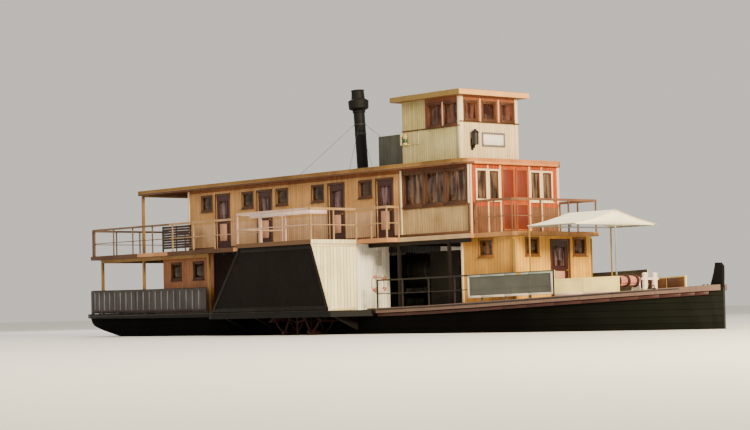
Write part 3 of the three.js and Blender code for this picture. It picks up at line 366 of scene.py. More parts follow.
# The fore frame stands in the dark bay under the deck, and its near black colour is painted shade.
frame_paint_as_shade = coat("near_black_frame_paint_as_painted_shade", "160e0b", "8a6248", 0.55, streaks=0.4, gloss=0.2)
dress(deck_edge, "upper_deck")
dress(roof_canvas, "hurricane_deck")
dress(wheelhouse_roof_paint, "wheelhouse_roof")
dress(frame_paint, "aft_frame", "verandah_frame")
dress(frame_paint_as_shade, "fore_frame")
print("decks and frames painted")

# %% [markdown]
# The houses are tongue-and-groove boards that stand upright, 100 to 150 mm wide. The cabins are a warm
# buff. Forward of them the saloon is dark red about its windows and buff below, so the side wall's paint
# has an area of red between the sills and the eaves. The saloon's front is orange red, the wheelhouse is
# buff green with a white front, and the little cabin on the main deck is a golden ochre.

# %% Houses
HOUSE_END, SALOON_AFT, SALOON_SILL, SALOON_FORE = -9.1, 3.60, 5.20, 7.2
cabin_paint = coat("buff_paint_on_matchboard", "c4965c", "a8764e", 0.6, boards=("xy", 120, 8),
                   streaks=0.5, areas=[
    ("cba680", {"x": (HOUSE_END, SALOON_AFT), "z": (4.1, 5.16)}),  # cabins, behind the rail
    ("5c2f1a", {"x": (SALOON_AFT, SALOON_FORE), "z": (SALOON_SILL, 6.7)}),  # about the saloon's windows
    ("af9568", {"x": (SALOON_AFT, SALOON_FORE), "z": (4.1, SALOON_SILL)}),  # below them
    ("8a5428", {"x": (HOUSE_END, SALOON_AFT), "z": (6.40, 6.7)}),  # under the eaves: painted shade of the roof
])
saloon_paint = coat("orange_red_paint_on_boards", "b04a14", "b04a30", 0.6, boards=("xy", 120, 8), spread=0.5,
                    areas=[("805738", {"z": (4.1, 5.10)})])  # behind the fore rail
helm_paint = coat("buff_green_paint_on_boards", "c9be8a", "a08c64", 0.6, boards=("xy", 110, 8),
                  streaks=0.5, areas=[
    ("b8ac74", {"z": (7.95, 9.0)}),  # above the belt
    ("7c4426", {"z": (7.95, 9.0), "x": (4.1, 5.9)}),  # about the side windows
])
white_paint = coat("white_enamel_on_boards", "f7f1e6", "d0bca6", 0.4, boards=("xy", 120, 6), spread=0.25,
                   streaks=0.35)
white_front = coat("white_enamel_wheelhouse_front", "ead0a6", "d4bca4", 0.4, boards=("xy", 120, 6), spread=0.2,
                   streaks=0.35, areas=[("8a4a26", {"z": (8.10, 9.0)})])  # about the front windows
ochre_paint = coat("golden_ochre_paint", "cd9640", "a87834", 0.45, boards=("xy", 150, 8), streaks=0.45,
                   areas=[("f4b846", {"x": (8.76, 8.8)})])  # its front, where the sun falls
dress(cabin_paint, *both("upper_house_side"), "upper_house_aft")
dress(saloon_paint, "upper_house_front")
dress(helm_paint, "wheelhouse_shell")
dress(white_front, "wheelhouse_front")
dress(white_paint, "windlass_frame")
dress(ochre_paint, "forward_cabin_shell", "forward_cabin_front")
print("houses painted")

# %% Engine room, bitts and awning poles
room_paint = coat("white_enamel_engine_room", "fffcf0", "e8d8c0", 0.4, boards=("xy", 120, 6), spread=0.1,
                  streaks=0.2, areas=[
    ("0e0807", {"z": (3.715, 4.1), "y": (-1.26, 1.26)}),  # over the boiler, under the deck: soot, and painted shade of the dark bay
])
bitts_pink = coat("pinkish_white_bitts", "ead6cc", "b89a8c", 0.45, streaks=0.4, spread=0.3)
pole_grey = coat("grey_green_awning_poles", "9aa09a", "6c6f66", 0.5, streaks=0.4,
                 areas=[("a87c3a", {"x": (9.5, 9.72), "z": (1.5, 4.25)})])  # the two aft posts
dress(bitts_pink, "mooring_bitts_fore")
dress(room_paint, "engine_room_walls")
dress(pole_grey, "awning_frame")
print("engine room, bitts and poles painted")

# %% [markdown]
# Rails are painted timber too. The upper ones are buff and have lost their shine. The foredeck rail is
# coloured nearly black aft of the sign board, painted shade where it runs under the upper deck; the board
# itself is a faded grey green with nothing on it, and the bulwark forward of it is cream. One material does
# all three, with areas told apart by how far forward they are.

# %% Rails
upper_rail_paint = coat("worn_buff_rail_paint", "ad8d68", "8a6648", 0.6, streaks=0.5, spread=0.5, areas=[
    ("6e5642", {"x": (-15.7, -9.4)}),  # round the stern
    ("c8aa9a", {"x": (-2.4, 1.80)}),  # over the paddle boxes
])
# Nearly black aft of the sign board, under the upper deck: painted shade.
foredeck_rail_paint = coat("foredeck_rail_paint", "1c1917", "8a8480", 0.55, streaks=0.5, spread=0.5, areas=[
    ("4d4f49", {"x": (7.38, 10.92)}),  # the sign board
    ("f8e494", {"x": (10.96, 13.3)}),  # the bulwark
])
front_rail_paint = coat("brown_front_rail_paint", "7a5238", "5c4030", 0.6, streaks=0.5, spread=0.5)
dress(upper_rail_paint, *both("upper_rail"), "upper_rail_aft")
dress(front_rail_paint, "fore_rail")
dress(foredeck_rail_paint, *both("main_rail"))
print("rails painted")

# %% [markdown]
# The paddle boxes are boarded like barrels and painted nearly black on their sides, where soot and spray
# leave grey streaks. Their fronts are cream and face the bow, so the cream is an area at the front plane of
# the box. The windlass is pale with rims of dark red, told apart by how far out they are.

# %% Paddle boxes, wheels and windlass
BOX_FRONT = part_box("paddle_box_starboard")[1].x
box_paint = coat("black_brown_paddle_box_paint", "120d0a", "b8a898", 0.7, boards=("xy", 150, 10), spread=0.4,
                 streaks=0.5, gloss=0.15, areas=[("fff8c8", {"x": (BOX_FRONT - 0.03, BOX_FRONT + 0.02)})])
# The wheels are red oxide darkened to near black: painted shade under the paddle boxes.
wheel_paint = coat("red_oxide_darkened_as_painted_shade", "2e130d", "6b564a", 0.75, spread=0.8, streaks=0.7,
                   gloss=0.2)
RIM_RED = "471a12"
RIM_SPANS = ((-0.90, -0.565), (-0.48, -0.39), (-0.045, 0.045), (0.39, 0.48), (0.565, 0.90))  # metres to port
windlass_paint = coat("pink_white_windlass_with_dark_rims", "cc9283", "8a5a50", 0.5, streaks=0.5,
                      areas=[(RIM_RED, {"y": span}) for span in RIM_SPANS])
dress(box_paint, *both("paddle_box"))
dress(wheel_paint, *both("paddle_wheel"))
dress(windlass_paint, "windlass_drum")
print("paddle boxes, wheels and windlass painted")

# %% [markdown]
# Doors are maroon gloss. Iron has stove paint that rusts in patches, and the funnel's soot takes its shine
# away. Cedar and teak are varnished: a clear coat over a streaked grain gives them a wet look. The tank is
# galvanised under grey paint, so it is a little metallic, and weather has streaked the boards of the stern
# rail.

# %% Doors, iron and varnish
door_paint = coat("maroon_door_gloss", "3a140c", "8a5a44", 0.4, spread=0.3, streaks=0.3, sheen_coat=0.1)
black_iron = coat("black_stove_paint_on_iron", "1f1d1c", "6d4a38", 0.5, spread=0.5, streaks=0.6)
varnish = coat("varnished_cedar", "a86318", "84522a", 0.35, boards=("xy", 110, 7), grain=0.5, streaks=0.5,
               sheen_coat=0.4, areas=[("3a1714", {"x": (-7.61, -7.59)})])  # its fore end, in the shade
turned_wood = coat("varnished_teak", "9a5a2a", "5c2f14", 0.3, grain=0.5, streaks=0.5, sheen_coat=0.5)
boiler_lagging = coat("blackened_boiler_plate", "0b0908", "5c4a40", 0.55, boards=("x", 900, 14), gloss=0.2)
tank_grey = coat("galvanised_tank_in_grey", "56584c", "7c6a58", 0.55, boards=("xy", 400, 10), streaks=0.7,
                 metal=0.2)
rail_grey = coat("grey_weatherboard_rail", "484644", "a49a98", 0.7, boards=("xy", 150, 12), streaks=0.8,
                 spread=0.6)
soot_black = coat("soot_black_funnel", "0d0c0d", "3a3432", 0.6, spread=0.4, streaks=0.5, gloss=0.2)
door_nodes = [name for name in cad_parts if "door" in name]
dress(soot_black, "funnel")
dress(black_iron, "rudder", "engine", "paddle_shaft")
dress(varnish, "aft_cabin_shell", "aft_cabin_end")
dress(turned_wood, "steering_wheel", "steering_stand")
dress(boiler_lagging, "boiler")
dress(tank_grey, "roof_tank")
dress(rail_grey, "stern_rail")
dress(door_paint, *door_nodes)
print(len(door_nodes), "doors, funnel, boiler, tank and stern rail painted")

# %% [markdown]
# The joinery is made of a few kinds of shape. Boards are boxes, and a batten that runs at a slant is a box
# between two points. Pipes and rings follow a path, and a knob or a lamp is turned on a lathe. Each
# function below makes the points and faces of one kind for a whole table of sizes at once, so a row of
# windows costs one call.

# %% Boards and battens
BOX_CORNERS = np.array([(0, 0, 0), (0, 0, 1), (0, 1, 0), (0, 1, 1), (1, 0, 0), (1, 0, 1), (1, 1, 0), (1, 1, 1)])
BOX_FACES = np.array([(0, 1, 3, 2), (4, 6, 7, 5), (0, 4, 5, 1), (2, 3, 7, 6), (0, 2, 6, 4), (1, 5, 7, 3)])
BAR_FACES = np.array([(0, 3, 2, 1), (4, 5, 6, 7), (0, 1, 5, 4), (1, 2, 6, 5), (2, 3, 7, 6), (3, 0, 4, 7)])


def eight_cornered(points, faces, count):
    """A shape (points, corners, sizes of faces): each body has eight points, and the same six faces."""
    corners = faces + 8 * np.arange(count)[:, None, None]
    return points.reshape(-1, 3), corners.ravel(), np.full(6 * count, 4)


def boxes(spans):
    """Boxes from rows of (x0, x1, y0, y1, z0, z1), each with eight corners and six faces that look outwards."""
    rows = np.sort(np.array(spans, float).reshape(-1, 3, 2), axis=2)
    points = np.stack([rows[:, k, BOX_CORNERS[:, k]] for k in range(3)], axis=2)
    return eight_cornered(points, BOX_FACES, len(rows))


def across_run(run, up):
    """Two unit vectors across the way: side = up x run, and rise = run x side."""
    side = np.cross(up, run)
    side /= np.linalg.norm(side, axis=-1, keepdims=True)
    return side, np.cross(run, side)


def bars(starts, ends, width, depth, up=(0, 0, 1)):
    """Straight battens from starts to ends. Their width lies along up x run, their depth along run x that."""
    a, b = np.array(starts, float).reshape(-1, 3), np.array(ends, float).reshape(-1, 3)
    side, rise = across_run((b - a) / np.linalg.norm(b - a, axis=1, keepdims=True), up)
    across = np.array([-1, 1, 1, -1])[None, :, None] * width / 2 * side[:, None]
    high = np.array([-1, -1, 1, 1])[None, :, None] * depth / 2 * rise[:, None]
    points = np.concatenate([a[:, None] + across + high, b[:, None] + across + high], axis=1)
    return eight_cornered(points, BAR_FACES, len(a))


def on_wall(axis, rows):
    """Boxes from rows (u0, u1, z0, z1, d0, d1): u runs along a wall, and d along the named axis, across it."""
    u0, u1, z0, z1, d0, d1 = np.array(rows, float).reshape(-1, 6).T
    return boxes(np.stack((u0, u1, d0, d1, z0, z1) if axis == "y" else (d0, d1, u0, u1, z0, z1), axis=1))


def rim(hole, width, d0, d1):
    """Rows for on_wall: four boards of one width just outside a hole (u0, u1, z0, z1), from d0 to d1."""
    u0, u1, z0, z1 = hole
    return [(u0 - width, u0, z0 - width, z1 + width, d0, d1), (u1, u1 + width, z0 - width, z1 + width, d0, d1),
            (u0, u1, z1, z1 + width, d0, d1), (u0, u1, z0 - width, z0, d0, d1)]


def shrunk(hole, by):
    """The hole (u0, u1, z0, z1) with each edge moved in by a distance."""
    u0, u1, z0, z1 = hole
    return u0 + by, u1 - by, z0 + by, z1 - by


print("boards and battens ready")

# %% Round bars, rings and turned pieces
def skinned(rings, closed=False):
    """A skin over rings of points, an array (rings, points on each, 3). If closed, the last ring joins the
    first, and otherwise both ends get a cap. Seen along the way the rings run, their points turn clockwise."""
    count, around = rings.shape[:2]
    i = np.arange(count if closed else count - 1)[:, None]
    j = np.arange(around)[None]
    here, there = i * around, (i + 1) % count * around
    quads = np.stack([here + j, here + (j + 1) % around, there + (j + 1) % around, there + j], axis=2)
    sizes = np.full(quads.shape[0] * around, 4)
    if closed:
        return rings.reshape(-1, 3), quads.ravel(), sizes
    caps = np.concatenate([np.arange(around)[::-1], (count - 1) * around + np.arange(around)])
    corners = np.concatenate([quads.ravel(), caps])
    return rings.reshape(-1, 3), corners, np.concatenate([sizes, [around, around]])


def circle(side, rise, points):
    """Unit circle points cos t side + sin t rise, for t in equal steps all the way round."""
    turn = np.linspace(0, 2 * np.pi, points, endpoint=False)[:, None]
    return np.cos(turn) * side + np.sin(turn) * rise


def tube(path, radius, sides=10, closed=False, up=(0, 0, 1)):
    """A round bar: at each point p of the path a ring p + r (cos t side + sin t rise), across its way."""
    path = np.array(path, float)
    run = (np.roll(path, -1, axis=0) - np.roll(path, 1, axis=0)) if closed else np.gradient(path, axis=0)
    side, rise = across_run(run / np.linalg.norm(run, axis=1, keepdims=True), up)
    return skinned(path[:, None] + radius * circle(side[:, None], rise[:, None], sides), closed)


def side_of(axis):
    """A unit vector square to an axis: axis x Y, or axis x X where the axis lies near Y."""
    side = np.cross(axis, (0.0, 1.0, 0.0) if abs(axis[1]) < 0.5 else (1.0, 0.0, 0.0))
    return side / np.linalg.norm(side)


def turned(profile, foot, axis=(0, 0, 1), sides=20):
    """A lathe-turned piece: for each (r, h) of the profile a ring of radius r at foot + h axis."""
    axis = np.array(axis, float) / np.linalg.norm(axis)
    side = side_of(axis)
    radius, height = np.array(profile, float).T[:, :, None, None]
    return skinned(np.array(foot, float) + height * axis + radius * circle(side, np.cross(axis, side), sides))


def ring_path(centre, radius, axis, points=40):
    """A circle of points about an axis, to run a tube along."""
    axis = np.array(axis, float)
    side = side_of(axis)
    return np.array(centre) + radius * circle(side, np.cross(axis, side), points)


print("tubes, rings and lathe ready")

# %% Joining shapes and making pieces
EASED_ABOVE = 50  # degrees between two faces


def merged(*shapes):
    """Several shapes as one, with their corner numbers moved on past the points before them."""
    starts = np.cumsum([0] + [len(points) for points, _, _ in shapes[:-1]])
    return (np.concatenate([points for points, _, _ in shapes]),
            np.concatenate([corners + start for (_, corners, _), start in zip(shapes, starts)]),
            np.concatenate([sizes for _, _, sizes in shapes]))


def mirrored(shape):
    """The shape on the boat's other side: y becomes -y, and each face's corners run the other way."""
    points, corners, sizes = shape
    return points * (1, -1, 1), corners[::-1], sizes[::-1]


def on_both_sides(shape):
    """A shape and its mirror image."""
    return merged(shape, mirrored(shape))


def piece(name, parts, body="steamer", bevel_mm=0, crease=None):
    """A mesh object from a list of (shape, material) that rides on a body. Boards get their edges eased by a
    bevel, and round pieces are shaded smooth up to the crease angle in degrees."""
    points, corners, sizes = merged(*[shape for shape, _ in parts])
    finishes = np.repeat(np.arange(len(parts)), [len(shape[2]) for shape, _ in parts])
    mesh = bpy.data.meshes.new(name)
    mesh.vertices.add(len(points))
    mesh.vertices.foreach_set("co", points.ravel())
    mesh.loops.add(len(corners))
    mesh.loops.foreach_set("vertex_index", corners.astype(np.int32))
    mesh.polygons.add(len(sizes))
    mesh.polygons.foreach_set("loop_start", (np.cumsum(sizes) - sizes).astype(np.int32))
    mesh.polygons.foreach_set("material_index", finishes.astype(np.int32))
    mesh.update(calc_edges=True)
    if crease:
        mesh.polygons.foreach_set("use_smooth", np.ones(len(sizes), bool))
        mesh.set_sharp_from_angle(angle=math.radians(crease))
    for _, material in parts:
        mesh.materials.append(material)
    made = bpy.data.objects.new(name, mesh)
    bpy.context.scene.collection.objects.link(made)
    if bevel_mm:
        bevel = made.modifiers.new("eased_edges", "BEVEL")
        bevel.width = bevel_mm / 1000
        bevel.segments = 1
        bevel.angle_limit = math.radians(EASED_ABOVE)
    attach(made, body)
    return made


print("pieces can be made")

# %% [markdown]
# The joinery needs its own finishes: gloss on casings and sashes, with a thin clear coat where it is
# newest, and stain on plain timber. Brass has a warm tint that dulls in patches.

# %% Joinery finishes
casing_brown = coat("dark_brown_gloss_casing", "4a2a14", "b98a5a", 0.45, streaks=0.35, spread=0.3,
                    sheen_coat=0.1)
sash_red = coat("red_brown_sash_paint", "50301a", "c07a4a", 0.5, streaks=0.4, spread=0.3)
sash_amber = coat("amber_brown_sash_paint", "85551f", "c08a4a", 0.5, streaks=0.4, spread=0.3)
cream_trim = coat("cream_gloss_trim", "efdcb4", "b99a6c", 0.4, streaks=0.4, spread=0.25, sheen_coat=0.2)
pink_white = coat("faded_pinkish_white_rail_paint", "d2b8b2", "a58a7c", 0.55, streaks=0.5, spread=0.3)
orange_panel = coat("orange_red_gloss_panel", "9c5020", "8c2f1a", 0.55, streaks=0.35, spread=0.4)
red_panel = coat("deep_red_gloss_panel", "6e280e", "c8603c", 0.55, streaks=0.35, spread=0.4)
door_panel = coat("faded_pink_door_panel", "cf9a7c", "8a5a44", 0.55, streaks=0.5, spread=0.4)
brown_timber = coat("brown_stained_timber", "5e3c20", "a5804e", 0.65, grain=0.5, streaks=0.4, spread=0.4)
dark_screen = coat("dark_maroon_slats", "2e1a17", "6a4a40", 0.6, streaks=0.4, spread=0.4)
dull_brass = coat("dull_brass", "b58a3f", "5c4a2a", 0.3, metal=0.9, streaks=0.5, spread=0.7)
zinc_white = coat("lifebuoy_white", "f2eee4", "a89c8a", 0.5, streaks=0.3, spread=0.3)
print("joinery finishes ready")

# %% [markdown]
# Window glass on a boat by day shows a dark room, and in it the paler folds of a blind or a curtain, so
# each pane mixes those two colours in upright patches. Its surface is very smooth, with dust and a faint
# unevenness in the sheet that bends the reflections.

# %% Glass
FOLD_MM, RIPPLE_MM, DUST_MM = 160, 260, 120


def pane_glass(name, behind, blind):
    """A window pane with what lies behind it: a dark room, and the lighter folds of a blind or curtain."""
    material, tree, output = blank_material(name)
    folds = add(tree, "ShaderNodeMapRange", {"Value": patches(tree, FOLD_MM, (1, 1, 6), detail=2.0),
                                             "From Min": 0.42, "From Max": 0.62})
    seen = add(tree, "ShaderNodeMix", {0: folds.outputs[0], COLOUR_A: linear(behind), COLOUR_B: linear(blind)},
               **COLOURS)
    ripple = add(tree, "ShaderNodeBump", {"Height": patches(tree, RIPPLE_MM, detail=1.0), "Distance": 0.004,
                                          "Strength": 0.5})
    dust = add(tree, "ShaderNodeMapRange", {"Value": patches(tree, DUST_MM), "From Min": 0.3, "From Max": 0.8,
                                            "To Min": 0.06, "To Max": 0.2})
    shader = add(tree, "ShaderNodeBsdfPrincipled", {
        "Base Color": seen.outputs[COLOUR_OUT], "Roughness": dust.outputs[0], "Normal": ripple.outputs[0],
        "Specular IOR Level": 0.35,
    })
    tree.links.new(shader.outputs[0], output.inputs["Surface"])
    return material


cabin_glass = pane_glass("window_glass_over_brown_cabin", "1c1206", "402a12")
saloon_glass = pane_glass("window_glass_over_saloon", "2a1a12", "6e5544")
helm_glass = pane_glass("window_glass_over_wheelhouse", "2c0f06", "5e3826")
amber_glass = pane_glass("window_glass_over_amber_blind", "2e1a08", "6a3f12")
door_glass = pane_glass("door_glass_over_curtain", "2c1c1c", "7a5f5e")
print("glass ready")

# %% [markdown]
# Joinery is planted on walls, so the walls come first: for each, the axis across it, where its outer face
# stands and which way it looks. Most faces are an end of the wall's own box. Walls across Y are the
# starboard ones, and what they carry is mirrored to port.

# %% Walls
HELM_BOARDS = 0.05  # thickness of the wheelhouse's front


def face(node, axis, outward):
    """A wall as (axis, plane, outward), from the outward end of a node's box, to the millimetre."""
    low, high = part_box(node)
    return axis, round((high if outward > 0 else low)["xyz".index(axis)], 3), outward


WALLS = {
    "house_side": face("upper_house_side_starboard", "y", -1),
    "house_front": face("upper_house_front", "x", 1),
    "house_aft": face("upper_house_aft", "x", -1),
    "helm_side": face("wheelhouse_front", "y", -1),
    "helm_front": ("x", round(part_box("wheelhouse_front")[0].x + HELM_BOARDS, 3), 1),
    "helm_aft": face("wheelhouse_shell", "x", -1),
    "fore_side": face("forward_cabin_shell", "y", -1),
    "fore_front": face("forward_cabin_front", "x", 1),
    "aft_side": face("aft_cabin_shell", "y", -1),
    "aft_end": face("aft_cabin_end", "x", -1),
    "engine_front": face("engine_room_walls", "x", 1),
    "engine_aft": face("engine_room_walls", "x", -1),
}
HOUSE_WALL, HELM_WALL, FORE_WALL = (-WALLS[wall][1] for wall in ("house_side", "helm_side", "fore_side"))
HOUSE_FRONT, HELM_FRONT, FORE_FRONT = (WALLS[wall][1] for wall in ("house_front", "helm_front", "fore_front"))
print("walls:", {wall: plane for wall, (_, plane, _) in WALLS.items()})

# %% [markdown]
# Windows. Each opening in the walls gets a casing planted round it on the outside, a projecting sill, a
# sash set inside the hole and a pane in the sash. The wide windows of the saloon and the cabins' aft wall
# have a glazing bar.

# %% Windows
CABIN_TOP, CABIN_FOOT = 6.24, 5.72
#    group, wall, u0, u1, z0, z1, glazing bars
WINDOWS = [
    *[("cabin", "house_side", x - 0.31, x + 0.31, CABIN_FOOT, CABIN_TOP, 0)
      for x in (-7.75, -5.15, -3.05, -0.95, 1.72)],
    *[("cabin", "house_aft", y - 0.35, y + 0.35, 5.40, CABIN_TOP, 1) for y in (-1.2, 1.2)],
    *[("saloon", "house_side", x, x + 0.95, 5.27, 6.35, 1) for x in (3.76, 4.83, 5.90)],
    *[("front", "house_front", y - 0.21, y + 0.21, 5.34, 6.30, 0) for y in (-1.58, -1.0, 1.0, 1.58)],
    *[("helm", "helm_side", x0, x1, 8.02, 8.77, 0) for x0, x1 in ((4.28, 4.96), (5.06, 5.72))],
    *[("helmfront", "helm_front", y0, y1, 8.17, 8.77, 0)
      for y0, y1 in ((-1.17, -0.6), (-0.29, 0.29), (0.6, 1.17))],
    ("fore", "fore_side", 7.18, 7.78, 3.42, 3.93, 0),
    *[("fore", "fore_front", y0, y1, 3.42, 3.93, 0) for y0, y1 in ((-1.29, -0.73), (1.0, 1.55))],
    *[("aft", "aft_side", x0, x1, 3.10, 3.70, 0) for x0, x1 in ((-10.4, -9.8), (-8.9, -8.3))],
    *[("aft", "aft_end", y0, y1, 3.10, 3.70, 0) for y0, y1 in ((-1.55, -0.95), (0.95, 1.55))],
]
#    group: casing, sash, glass, slot
WINDOW_PAINT = {
    "cabin": (casing_brown, casing_brown, cabin_glass, "house_paint"),
    "saloon": (sash_red, sash_red, saloon_glass, "house_paint"),
    "front": (cream_trim, sash_red, saloon_glass, "saloon_paint"),
    "helm": (sash_red, sash_red, helm_glass, "board_paint"),
    "helmfront": (sash_red, sash_red, helm_glass, "white_paint"),
    "fore": (sash_amber, casing_brown, amber_glass, "ochre_paint"),
    "aft": (casing_brown, casing_brown, cabin_glass, "varnished_wood"),
}
print("windows:", sum(2 if WALLS[wall][0] == "y" else 1 for _, wall, *_ in WINDOWS))

# %% Casings, sashes and panes
CASING, SASH, SILL_PAST = 0.06, 0.04, 0.03


def window_rows(plane, outward, hole, glazing):
    """Rows of one window for on_wall, as (casing and sill, sash and glazing bars, pane)."""
    u0, u1, z0, z1 = hole
    sill_reach, sill_top = CASING + SILL_PAST, z0 - CASING
    casing = rim(hole, CASING, plane, plane + outward * 0.018)
    casing.append((u0 - sill_reach, u1 + sill_reach, sill_top - SILL_PAST, sill_top,
                   plane, plane + outward * 0.05))
    middle = plane - outward * 0.03
    sash = rim(shrunk(hole, SASH), SASH - 0.002, middle - 0.016, middle + 0.016)
    steps = np.linspace(u0, u1, glazing + 2)[1:-1]
    sash += [(u - 0.014, u + 0.014, z0 + SASH, z1 - SASH, middle - 0.012, middle + 0.012) for u in steps]
    return casing, sash, [(*shrunk(hole, SASH - 0.01), middle - 0.003, middle + 0.003)]


for group, (*finishes, slot) in WINDOW_PAINT.items():
    shapes = [[], [], []]
    for _, wall, *hole, glazing in [row for row in WINDOWS if row[0] == group]:
        axis, plane, outward = WALLS[wall]
        for store, rows in zip(shapes, window_rows(plane, outward, hole, glazing)):
            shape = on_wall(axis, rows)
            store.append(on_both_sides(shape) if axis == "y" else shape)
    parts = [(merged(*store), finish) for store, finish in zip(shapes, finishes)]
    piece(f"{group}_windows", parts, bevel_mm=3)
print("joinery for", len(WINDOW_PAINT), "groups of windows")

# %% [markdown]
# Doors. A cabin door of this age is framed and panelled: a moulding round the glass, a raised panel below
# it, a brass knob. All of it is planted on the leaf, so it rides on the door's own body and swings with it.
# The leaf's own box says where it stands, and its outer face is where the trim goes.

# %% Doors
LEAF, LEAF_GAP = 0.80, 0.010
KNOB = [(0.028, 0), (0.028, 0.006), (0.010, 0.010), (0.010, 0.032), (0.026, 0.042), (0.026, 0.054),
        (0.012, 0.062)]
KNOB_UP, KNOB_IN = 1.0, 0.07
#    doors, axis of the outer face, outward, latch end, floor to pane, pane height
DOOR_SETS = [
    ([f"cabin_door_starboard_{i}" for i in (1, 2, 3, 4)], "y", -1, 1, 1.15, 0.70),
    ([f"cabin_door_port_{i}" for i in (1, 2, 3, 4)], "y", 1, 1, 1.15, 0.70),
    (["wheelhouse_door"], "x", -1, -1, 1.10, 0.65),
    (["forward_cabin_door"], "x", 1, 1, 1.15, 0.65),
    (["aft_cabin_door"], "x", -1, -1, 1.15, 0.65),
]


def door_trim(name, axis, outward, latch, pane_foot, pane_tall):
    """The mouldings, raised panel, knob and pane of one door, placed from the box of its leaf."""
    low, high = (np.array(corner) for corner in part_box(name))
    d, u = "xy".index(axis), "yx".index(axis)
    leaf_face = high[d] if outward > 0 else low[d]
    far = high[u] if latch > 0 else low[u]
    u0, u1 = sorted((far, far - latch * LEAF))
    floor_z = low[2] - LEAF_GAP
    pane = (u0 + 0.15, u1 - 0.15, floor_z + pane_foot, floor_z + pane_foot + pane_tall)
    panel = (u0 + 0.17, u1 - 0.17, floor_z + 0.32, floor_z + pane_foot - 0.17)
    proud = leaf_face + outward * 0.012
    trim = rim(shrunk(pane, 0.012), 0.045, leaf_face - outward * 0.004, proud)
    trim += rim(panel, 0.035, leaf_face, proud)
    raised = [(*panel, leaf_face - outward * 0.001, leaf_face + outward * 0.005)]
    glass = [(*shrunk(pane, -0.003), leaf_face - outward * 0.026, leaf_face - outward * 0.020)]
    knob_at, outwards = [0.0, 0.0, floor_z + KNOB_UP], [0.0, 0.0, 0.0]
    knob_at[d], knob_at[u], outwards[d] = leaf_face, far - latch * KNOB_IN, outward
    piece(f"{name}_trim", [
        (on_wall(axis, trim), door_paint), (on_wall(axis, raised), door_panel),
        (turned(KNOB, knob_at, outwards, 16), dull_brass), (on_wall(axis, glass), door_glass),
    ], body=name, bevel_mm=2)


for names, *settings in DOOR_SETS:
    for name in names:
        door_trim(name, *settings)
print("doors:", sum(len(names) for names, *_ in DOOR_SETS))

# %% [markdown]
# Door openings get a casing on the outside of the wall, like the windows: a board at each side and one
# above.

# %% Door casings
DOOR_CASING = 0.07
#    wall, u0, u1, floor, tall
DOORWAYS = [
    *[("house_side", x, x + 0.82, 4.1703, 2.07) for x in (-7.145, -4.525, -0.315, 2.325)],
    ("helm_aft", -0.41, 0.41, 6.7103, 1.95),
    ("fore_front", -0.10, 0.72, 1.857, 2.0),
    ("aft_end", -0.41, 0.41, 1.711, 2.0),
]
casing_rows = {"x": [], "y": []}
for wall, u0, u1, floor_z, tall in DOORWAYS:
    axis, plane, outward = WALLS[wall]
    head = floor_z + tall
    boards = [(u0 - DOOR_CASING, u0, floor_z, head + DOOR_CASING),
              (u1, u1 + DOOR_CASING, floor_z, head + DOOR_CASING),
              (u0, u1, head, head + DOOR_CASING)]
    casing_rows[axis] += [(*board, plane, plane + outward * 0.02) for board in boards]
casings = merged(on_both_sides(on_wall("y", casing_rows["y"])), on_wall("x", casing_rows["x"]))
piece("door_casings", [(casings, casing_brown)], bevel_mm=3)
print("doorways:", len(DOORWAYS))

# %% [markdown]
# The awning is one sheet of canvas laced over a ridge bar and two side bars, so the cloth hangs a little
# between them: it falls from the ridge to the eave in a shallow curve, and it dips again between its aft
# and its fore end. Its surface is z = slope - sin(pi s) (0.035 + 0.045 sin(pi t)), where s runs from ridge
# to side bar and t from end to end.

# %% Awning's surface
AWNING = {"aft": 9.55, "fore": 11.65, "out": 2.0, "ridge": 4.756, "eave": 4.296, "bar": 1.94}
RIDGE_HALF, END_HOLD = 0.02, 0.08  # metres over which the ridge bar and the end bars hold the cloth
HANG, DIP = 0.035, 0.045
CLOTH_STEPS_ALONG, CLOTH_STEPS_OUT = 33, 25


def awning_height(x, y):
    """Height of the cloth over (x, y). The dips are nought over the ridge bar, the side bars and the ends."""
    out = np.abs(y)
    slope = AWNING["ridge"] + (AWNING["eave"] - AWNING["ridge"]) * out / AWNING["out"]
    s = np.clip((out - RIDGE_HALF) / (AWNING["bar"] - RIDGE_HALF), 0, 1)
    t = np.clip((x - AWNING["aft"] - END_HOLD) / (AWNING["fore"] - AWNING["aft"] - 2 * END_HOLD), 0, 1)
    return slope - np.sin(np.pi * s) * (HANG + DIP * np.sin(np.pi * t))


along = np.linspace(AWNING["aft"] + 0.01, AWNING["fore"] - 0.01, CLOTH_STEPS_ALONG)
outward_steps = np.linspace(AWNING["out"] - 0.01, 0.0, CLOTH_STEPS_OUT)
across = np.concatenate([-outward_steps, outward_steps[-2::-1]])
cloth_x, cloth_y = np.meshgrid(along, across, indexing="ij")
cloth = np.stack([cloth_x, cloth_y, awning_height(cloth_x, cloth_y)], axis=2)
rows, columns = cloth.shape[:2]
first = (np.arange(rows - 1)[:, None] * columns + np.arange(columns - 1)[None]).ravel()
cloth_quads = np.stack([first, first + columns, first + columns + 1, first + 1], axis=1)
print("awning's cloth:", rows, "by", columns, "points")

# %% [markdown]
# Duck canvas is a plain weave of cotton threads, too fine to show from 74 m away, so the weave is drawn
# coarser. It is sewn from widths 600 mm apart, whose double seams look darker, and weather stains it in
# cloudy patches.

